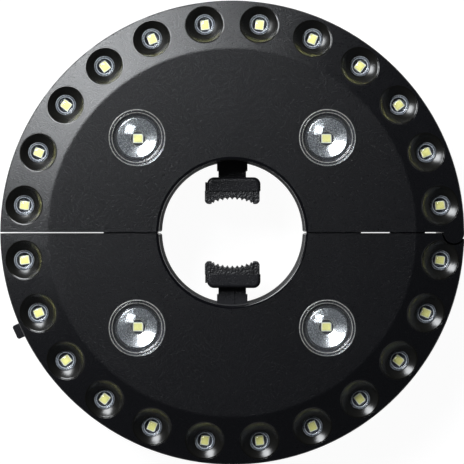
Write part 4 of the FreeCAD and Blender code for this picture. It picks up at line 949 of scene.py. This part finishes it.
def cross_screw(head, tall, shank, long, recess):
    """Pan head with a cross recess on a threaded shank, head down at z = 0."""
    bm = bmesh.new()
    arm, half_arm = recess, recess * 0.26
    cross = [(arm, -half_arm), (arm, half_arm), (half_arm, half_arm), (half_arm, arm),
             (-half_arm, arm), (-half_arm, half_arm), (-arm, half_arm), (-arm, -half_arm),
             (-half_arm, -half_arm), (-half_arm, -arm), (half_arm, -arm), (half_arm, -half_arm)]
    # The ring of points at the head's face is joined to the twelve corners of the cross.
    steps, flat = 24, 0.82
    outer = [(math.cos(math.tau * step / steps - math.tau / 16) * head * flat,
              math.sin(math.tau * step / steps - math.tau / 16) * head * flat)
             for step in range(steps)]
    face_ring = [bm.verts.new((x, y, 0)) for x, y in outer]
    rim = [bm.verts.new((x / flat, y / flat, tall * 0.35)) for x, y in outer]
    back = [bm.verts.new((x / flat, y / flat, tall)) for x, y in outer]
    corners = [bm.verts.new((x, y, 0)) for x, y in cross]
    floor = [bm.verts.new((x * 0.8, y * 0.8, tall * 0.62)) for x, y in cross]
    for ring, following in ((face_ring, rim), (rim, back)):
        for index in range(steps):
            ahead = (index + 1) % steps
            face = bm.faces.new((ring[index], ring[ahead], following[ahead], following[index]))
            face.smooth = True
    for index in range(len(cross)):
        ahead = (index + 1) % len(cross)
        bm.faces.new((corners[index], corners[ahead], floor[ahead], floor[index]))
    bm.faces.new(floor)
    edges = [bm.edges.get((ring[index], ring[(index + 1) % len(ring)]))
             for ring in (face_ring, corners) for index in range(len(ring))]
    bmesh.ops.triangle_fill(bm, edges=edges, use_beauty=True)
    bm.faces.new(back)
    profile = [(0, tall - 0.05)]
    pitch = shank * 0.8
    height = tall - 0.05
    while height < tall + long - pitch * 1.5:
        profile += [(shank * 0.8, height), (shank, height + pitch / 2)]
        height += pitch
    profile += [(shank * 0.8, height), (0, tall + long)]
    lathe(bm, profile, 14)
    return bm


def rubber_front():
    """The grip's front from left to right: two rounded lobes with a toothed hollow between."""
    sizes = grip_sizes()
    half_width, tip = sizes.rubber_half_width, sizes.pad_tip
    arc = sizes.pad_arc
    centre = sizes.pad_arc_middle - arc
    corner = 1.5
    lobe = []
    for step in range(7):
        angle = math.pi / 2 * step / 6
        lobe.append((half_width - corner + math.cos(angle) * corner,
                     tip + corner - math.sin(angle) * corner))
    spread = math.acos(math.sqrt(arc * arc - (tip - centre) ** 2) / arc)
    pitch = math.radians(sizes.tooth_pitch)
    reach, steps = pitch * 4.5, 150
    points = [(-x, y) for x, y in lobe]
    for step in range(steps + 1):
        away = (math.pi / 2 - spread) * (step / steps * 2 - 1)
        wave = (0.5 + 0.5 * math.cos(math.tau * away / pitch)) ** 1.6
        radius = arc + (sizes.tooth_depth * (1 - wave) if abs(away) < reach else 0.0)
        points.append((math.sin(away) * radius, centre + math.cos(away) * radius))
    return points + lobe[::-1]


def rubber_grip(half):
    """The rubber's body and the tab that wraps its carrier at the image's left."""
    sizes = grip_sizes()
    low = sizes.stem_level - sizes.rubber_height / 2
    high = sizes.stem_level + sizes.rubber_height / 2
    edge = 0.3
    front = rubber_front()
    bm = bmesh.new()
    rings = []
    for height, inset in ((low, edge), (low + edge * 0.3, edge * 0.3), (low + edge, 0.0),
                          (high - edge, 0.0), (high - edge * 0.3, edge * 0.3), (high, edge)):
        near = [bm.verts.new((x * (1 - inset / sizes.rubber_half_width), y + inset, height))
                for x, y in front]
        far = [bm.verts.new((vert.co.x, sizes.pad_back, height)) for vert in near]
        rings.append((near, far))
    for (near, far), (next_near, next_far) in zip(rings, rings[1:]):
        for line, following in ((near, next_near), (far, next_far)):
            for index in range(len(line) - 1):
                face = bm.faces.new((line[index], line[index + 1], following[index + 1],
                                     following[index]))
                face.smooth = True
        for index in (0, -1):
            bm.faces.new((near[index], far[index], next_far[index], next_near[index]))
    for near, far in (rings[0], rings[-1]):
        for index in range(len(near) - 1):
            bm.faces.new((near[index], near[index + 1], far[index + 1], far[index]))
    thick, reach = sizes.tab_thickness, sizes.tab_length
    near = -sizes.rubber_half_width if half == "upper" else sizes.rubber_half_width - thick
    rounded_block(bm, (near, sizes.pad_back - 0.6, low + 0.05),
                  (near + thick, sizes.pad_back + reach, low + sizes.tab_height), 0.3, 3)
    bmesh.ops.transform(bm, matrix=half_turn(half), verts=bm.verts)
    return finished_mesh(bm, f"{half}_grip")


def lead_ribbon():
    """Eight bonded wires that run down, across the seam and up again."""
    sizes = power_sizes()
    wires = 8
    pitch = sizes.lead_width / wires
    section = []
    for side in (1, -1):
        for wire in range(wires):
            place = (wire - (wires - 1) / 2) * pitch * side
            for step in range(5):
                angle = math.pi * (0.1 + 0.8 * step / 4)
                section.append((place + math.cos(angle) * pitch / 2 * side,
                                math.sin(angle) * sizes.lead_thickness / 2 * side))
    level, top = sizes.lead_level, sizes.lead_top
    # The upright runs' distance from the seam and the radius of the bends, as the CAD has them.
    reach, bend = 11.0, 4.0
    route = [(reach, top), (reach, level + bend + 2)]
    for step in range(9):
        angle = -math.pi / 2 * step / 8
        route.append((reach - bend + math.cos(angle) * bend, level + bend + math.sin(angle) * bend))
    for step in range(1, 28):
        route.append(((reach - bend) * (1 - step / 14), level))
    route += [(-y, z) for y, z in reversed(route[:11])]
    bm = bmesh.new()
    rings = []
    for index, (y, z) in enumerate(route):
        before, after = route[max(index - 1, 0)], route[min(index + 1, len(route) - 1)]
        along = Vector((0, after[0] - before[0], after[1] - before[1])).normalized()
        out = Vector((1, 0, 0)).cross(along)
        rings.append([bm.verts.new(Vector((sizes.lead_place + across, y, z)) + out * lift)
                      for across, lift in section])
    for ring, following in zip(rings, rings[1:]):
        for index in range(len(section)):
            ahead = (index + 1) % len(section)
            face = bm.faces.new((ring[index], ring[ahead], following[ahead], following[index]))
            face.smooth = True
    bm.faces.new(rings[0])
    bm.faces.new(rings[-1])
    return finished_mesh(bm, "bonded_lead")


def cell_mesh(name, place, sign, half):
    """Cell with a crimped sleeve, a bare ring at each end and a positive nub."""
    sizes = power_sizes()
    long, radius = sizes.cell_length / 2, sizes.cell_radius
    bm = bmesh.new()
    end = long - 0.02
    along = Matrix.Rotation(math.pi / 2 * sign, 4, "Y")
    turn = half_turn(half) @ Matrix.Translation((0, place, sizes.cell_level)) @ along
    sleeve = [(0, -end + 0.25), (radius - 1.5, -end + 0.25), (radius - 1.45, -end + 0.02),
              (radius - 0.5, -end), (radius - 0.1, -end + 0.2), (radius, -end + 0.7),
              (radius, end - 0.8), (radius - 0.12, end - 0.3), (radius - 0.5, end),
              (radius - 1.3, end), (radius - 1.35, end - 0.3), (0, end - 0.3)]
    lathe(bm, sleeve, 48, turn)
    cap = [(0, -end), (radius - 1.9, -end), (radius - 1.6, -end + 0.2),
           (radius - 1.6, -end + 0.3), (0, -end + 0.3)]
    lathe(bm, cap, 48, turn, 1)
    nub = sizes.nub_radius
    tip = long + sizes.nub_length
    top = [(0, end - 0.35), (radius - 1.5, end - 0.35), (radius - 1.7, end - 0.15),
           (nub + 0.5, end - 0.1), (nub + 0.05, end + 0.15), (nub, tip - 0.3),
           (nub - 0.3, tip - 0.02), (0, tip)]
    lathe(bm, top, 48, turn, 1)
    return finished_mesh(bm, name)


# ---------------------------------------------------------------- operators

class UL_OT_shells(bpy.types.Operator):
    """Finish the front and back shells"""
    bl_idname = "umbrella_light.shells"
    bl_label = "Shells"

    def execute(self, context):
        paint_halves(("front_housing", "rear_housing"), "case")
        paint_halves(("battery_door",), "door")
        return {"FINISHED"}


class UL_OT_lights(bpy.types.Operator):
    """Finish the boards, LEDs, lenses and cups"""
    bl_idname = "umbrella_light.lights"
    bl_label = "Lights"

    def execute(self, context):
        paint_halves(("led_board",), "board")
        sizes = light_sizes()
        ring, places = ring_tree(), places_tree()
        level = sizes.board_top
        for half in HALVES:
            body = half + "_half"
            for name, shape, height, main, trim in (
                    ("ring_leds", led_package, level, "led_body", "steel"),
                    ("ring_phosphors", led_phosphor, level, "phosphor", "phosphor"),
                    ("ring_lenses", ring_lens, 0.0, "clear", "frosted")):
                mesh = around_ring(ring, shape(), name, half, sizes.led_radius, height,
                                   (main, trim))
                piece(f"{half}_{name}_detail", mesh, body, [f"{half}_{name}"])
            spots = [(*(half_turn(half) @ Vector((sizes.spot_place * sign, sizes.spot_place,
                                                  level))), 0.0) for sign in (1, -1)]
            for place, side in zip(spots, ("right", "left")):
                for name, shape, slot, finish in (
                        ("spot_lens", spot_lens, "clear", "cover"),
                        ("spot_reflector", spot_cup, "cup", "cup")):
                    bm = shape()
                    bmesh.ops.translate(bm, vec=(place[0], place[1], 0), verts=bm.verts)
                    node = f"{half}_{side}_{name}"
                    # The covers' second slot paints highlight lines on their ridges.
                    piece(f"{node}_detail", finished_mesh(bm, node), body, [node],
                          [MATERIALS[finish], MATERIALS["ridge"]])
            for name, shape, main, trim in (("spot_leds", led_package, "led_body", "steel"),
                                            ("spot_phosphors", led_phosphor, "phosphor",
                                             "phosphor")):
                mesh = on_places(places, shape(), f"{half}_{name}", spots, (main, trim))
                piece(f"{half}_{name}_detail", mesh, body, [f"{half}_{name}"])
        return {"FINISHED"}


class UL_OT_grips(bpy.types.Operator):
    """Finish the sprung pads that grip the pole"""
    bl_idname = "umbrella_light.grips"
    bl_label = "Pole grips"

    def execute(self, context):
        paint_halves(("pad_holder", "pad_guide"), "pad_plastic")
        sizes = grip_sizes()
        coil = coil_tree()
        long = sizes.spring_end - sizes.spring_start
        for half in HALVES:
            piece(f"{half}_grip_rubber", rubber_grip(half), f"{half}_pad",
                  [f"{half}_rubber_pad"], [MATERIALS["rubber"]])
            carrier = bpy.data.meshes.new("spring_carrier")
            mesh = coil.run(f"{half}_spring", carrier, turns=sizes.spring_turns,
                            radius=sizes.spring_radius * MM, wire=sizes.spring_wire * MM,
                            height=(long - sizes.spring_wire * 2) * MM,
                            material=MATERIALS["spring_steel"], trim=MATERIALS["spring_steel"])
            start = Vector((0, sizes.spring_start + sizes.spring_wire, sizes.stem_level)) * MM
            mesh.transform(half_turn(half) @ Matrix.Translation(start)
                           @ Matrix.Rotation(-math.pi / 2, 4, "X"))
            thing = piece(f"{half}_spring_coil", mesh, f"{half}_half",
                          [f"{half}_pad_spring"])
            end = half_turn(half) @ (Vector((0, sizes.spring_end, sizes.stem_level)) * MM)
            1 - sizes.travel / long
            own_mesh(thing)
        return {"FINISHED"}


class UL_OT_power(bpy.types.Operator):
    """Finish the cells, contacts, springs, switch and control board"""
    bl_idname = "umbrella_light.power"
    bl_label = "Power"

    def execute(self, context):
        sizes = power_sizes()
        for half in HALVES:
            for name, place, sign in (("inner", sizes.inner_cell, 1),
                                      ("outer", sizes.outer_cell, -1)):
                mesh = cell_mesh(f"{half}_{name}_cell_body", place, sign, half)
                piece(f"{half}_{name}_cell_detail", mesh, f"{half}_half",
                      [f"{half}_{name}_cell"],
                      [MATERIALS["cell_wrap"], MATERIALS["steel"]])
        paint_halves(("cell_contacts",), "steel")
        paint_halves(("cell_springs",), "spring_steel")
        paint("control_board", "control")
        for name in ("tact_switch", "push_button"):
            paint(name, "button_plastic")
        lead = piece("bonded_hinge_lead", lead_ribbon(), None, ["hinge_lead"],
                     [MATERIALS["lead"]])
        side, level = sizes.lead_place * MM, sizes.lead_level * MM
        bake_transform(lead)
        return {"FINISHED"}


class UL_OT_hardware(bpy.types.Operator):
    """Finish the screws, hooks, hinge pin and latch"""
    bl_idname = "umbrella_light.hardware"
    bl_label = "Hardware"

    def execute(self, context):
        paint_halves(("hook",), "steel")
        places = places_tree()
        for half in HALVES:
            for name, spots, level, sizes in SCREWS:
                mesh = on_places(places, cross_screw(*sizes), name,
                                 case_places(half, spots, level), ("steel", "steel"))
                piece(f"{half}_{name}_detail", mesh, f"{half}_half", [f"{half}_{name}s"])
        paint("hinge_pin", "steel")
        paint("latch_clip", "pad_plastic")
        return {"FINISHED"}


class UL_OT_stage(bpy.types.Operator):
    """Set the floor, the lamps, the surroundings and the camera"""
    bl_idname = "umbrella_light.stage"
    bl_label = "Stage"

    def execute(self, context):
        sizes = stage_sizes()
        make_floor(sizes)
        make_surroundings(sizes)
        make_key_lamp(sizes)
        make_camera(sizes)
        context.scene.view_settings.view_transform = "Standard"
        return {"FINISHED"}


# ---------------------------------------------------------------- stage

def make_floor(sizes):
    bpy.ops.mesh.primitive_plane_add(size=sizes.floor_width, location=(0, 0, -sizes.floor_gap))
    floor = bpy.context.object
    floor.name = "floor"
    finish = Finish("pale_floor", sizes.floor, sizes.floor_roughness, Emission_Color=WHITE)
    rays = finish.add("ShaderNodeLightPath").outputs
    seen = finish.maths("MAXIMUM", rays["Is Camera Ray"], rays["Is Transmission Ray"])
    seen = finish.maths("MAXIMUM", seen, rays["Is Glossy Ray"])
    finish.surface(Emission_Strength=finish.maths("MULTIPLY", seen, sizes.floor_glow))
    floor.data.materials.append(finish.material)


def make_surroundings(sizes):
    """Dark overhead and paler towards the horizon, and white where the camera sees it."""
    world = bpy.data.worlds.new("surroundings")
    world.use_nodes = True
    bpy.context.scene.world = world
    nodes = Nodes(world.node_tree)
    backdrop = nodes.tree.nodes["Background"]
    place = nodes.add("ShaderNodeTexCoord").outputs["Generated"]
    upward = nodes.add("ShaderNodeSeparateXYZ", Vector=place).outputs[2]
    level = nodes.add("ShaderNodeMapRange", i0=upward, i1=0.0, i2=sizes.overhead_start,
                      i3=sizes.fill_level, i4=sizes.overhead_level).outputs[0]
    seen = nodes.add("ShaderNodeLightPath").outputs["Is Camera Ray"]
    tint = nodes.add("ShaderNodeMix", {"data_type": "RGBA"}, i0=seen,
                     i6=(*sizes.fill_colour, 1), i7=WHITE).outputs[2]
    nodes.feed(backdrop, "Strength", nodes.maths("MAXIMUM", seen, level))
    nodes.feed(backdrop, "Color", tint)


def upright_turn(away):
    """Turn of a lamp or camera that looks against away, with the light's +Y up in its view."""
    right = Vector((0, 1, 0)).cross(away).normalized()
    return Matrix((right, away.cross(right), away)).transposed().to_euler()


def make_key_lamp(sizes):
    data = bpy.data.lights.new("large_soft_lamp", "AREA")
    data.shape = "RECTANGLE"
    data.size, data.size_y = sizes.key_width, sizes.key_depth
    data.energy = sizes.key_power
    data.color = sizes.key_colour
    side, tilt = math.radians(sizes.key_side), math.radians(sizes.key_tilt)
    away = Vector((math.sin(tilt) * math.cos(side), math.sin(tilt) * math.sin(side),
                   math.cos(tilt)))
    lamp = bpy.data.objects.new("large_soft_lamp", data)
    lamp.location = away * sizes.key_distance
    lamp.rotation_euler = upright_turn(away)
    bpy.context.scene.collection.objects.link(lamp)


def make_camera(sizes):
    data = bpy.data.cameras.new("camera")
    camera = bpy.data.objects.new("camera", data)
    place = Vector((sizes.camera_right, sizes.camera_up, sizes.camera_height))
    aim = Vector((sizes.aim_right, sizes.aim_up, sizes.rim_height))
    camera.location = place
    camera.rotation_euler = upright_turn((place - aim).normalized())
    data.sensor_width = 36.0
    data.lens = data.sensor_width * (aim - place).length / sizes.view_width
    bpy.context.scene.collection.objects.link(camera)
    bpy.context.scene.camera = camera


# ---------------------------------------------------------------- add-on

PIECE_OPERATORS = (UL_OT_shells, UL_OT_lights, UL_OT_grips, UL_OT_power, UL_OT_hardware,
                   UL_OT_stage)


class UL_PT_panel(bpy.types.Panel):
    """Pieces of the umbrella light"""
    bl_label = "Umbrella Light"
    bl_idname = "UL_PT_panel"
    bl_space_type = "VIEW_3D"
    bl_region_type = "UI"
    bl_category = "Umbrella Light"

    def draw(self, context):
        for operator in PIECE_OPERATORS:
            self.layout.operator(operator.bl_idname)
        scene = context.scene
        for group in (scene.ul_finishes, scene.ul_lights, scene.ul_grips, scene.ul_power,
                      scene.ul_stage):
            box = self.layout.box()
            for key in group.__annotations__:
                box.prop(group, key)


GROUPS = {"ul_finishes": UL_Finishes, "ul_lights": UL_Lights, "ul_grips": UL_Grips,
          "ul_power": UL_Power, "ul_stage": UL_Stage}
CLASSES = (*GROUPS.values(), *PIECE_OPERATORS, UL_PT_panel)


def register():
    for one in CLASSES:
        bpy.utils.register_class(one)
    for key, group in GROUPS.items():
        setattr(bpy.types.Scene, key, bpy.props.PointerProperty(type=group))


def unregister():
    for key in GROUPS:
        delattr(bpy.types.Scene, key)
    for one in reversed(CLASSES):
        bpy.utils.unregister_class(one)


def main():
    register()
    make_materials()
    bpy.ops.umbrella_light.shells()
    bpy.ops.umbrella_light.lights()
    bpy.ops.umbrella_light.grips()
    bpy.ops.umbrella_light.power()
    bpy.ops.umbrella_light.hardware()
    bpy.ops.umbrella_light.stage()
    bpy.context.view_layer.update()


if __name__ == "__main__":
    main()
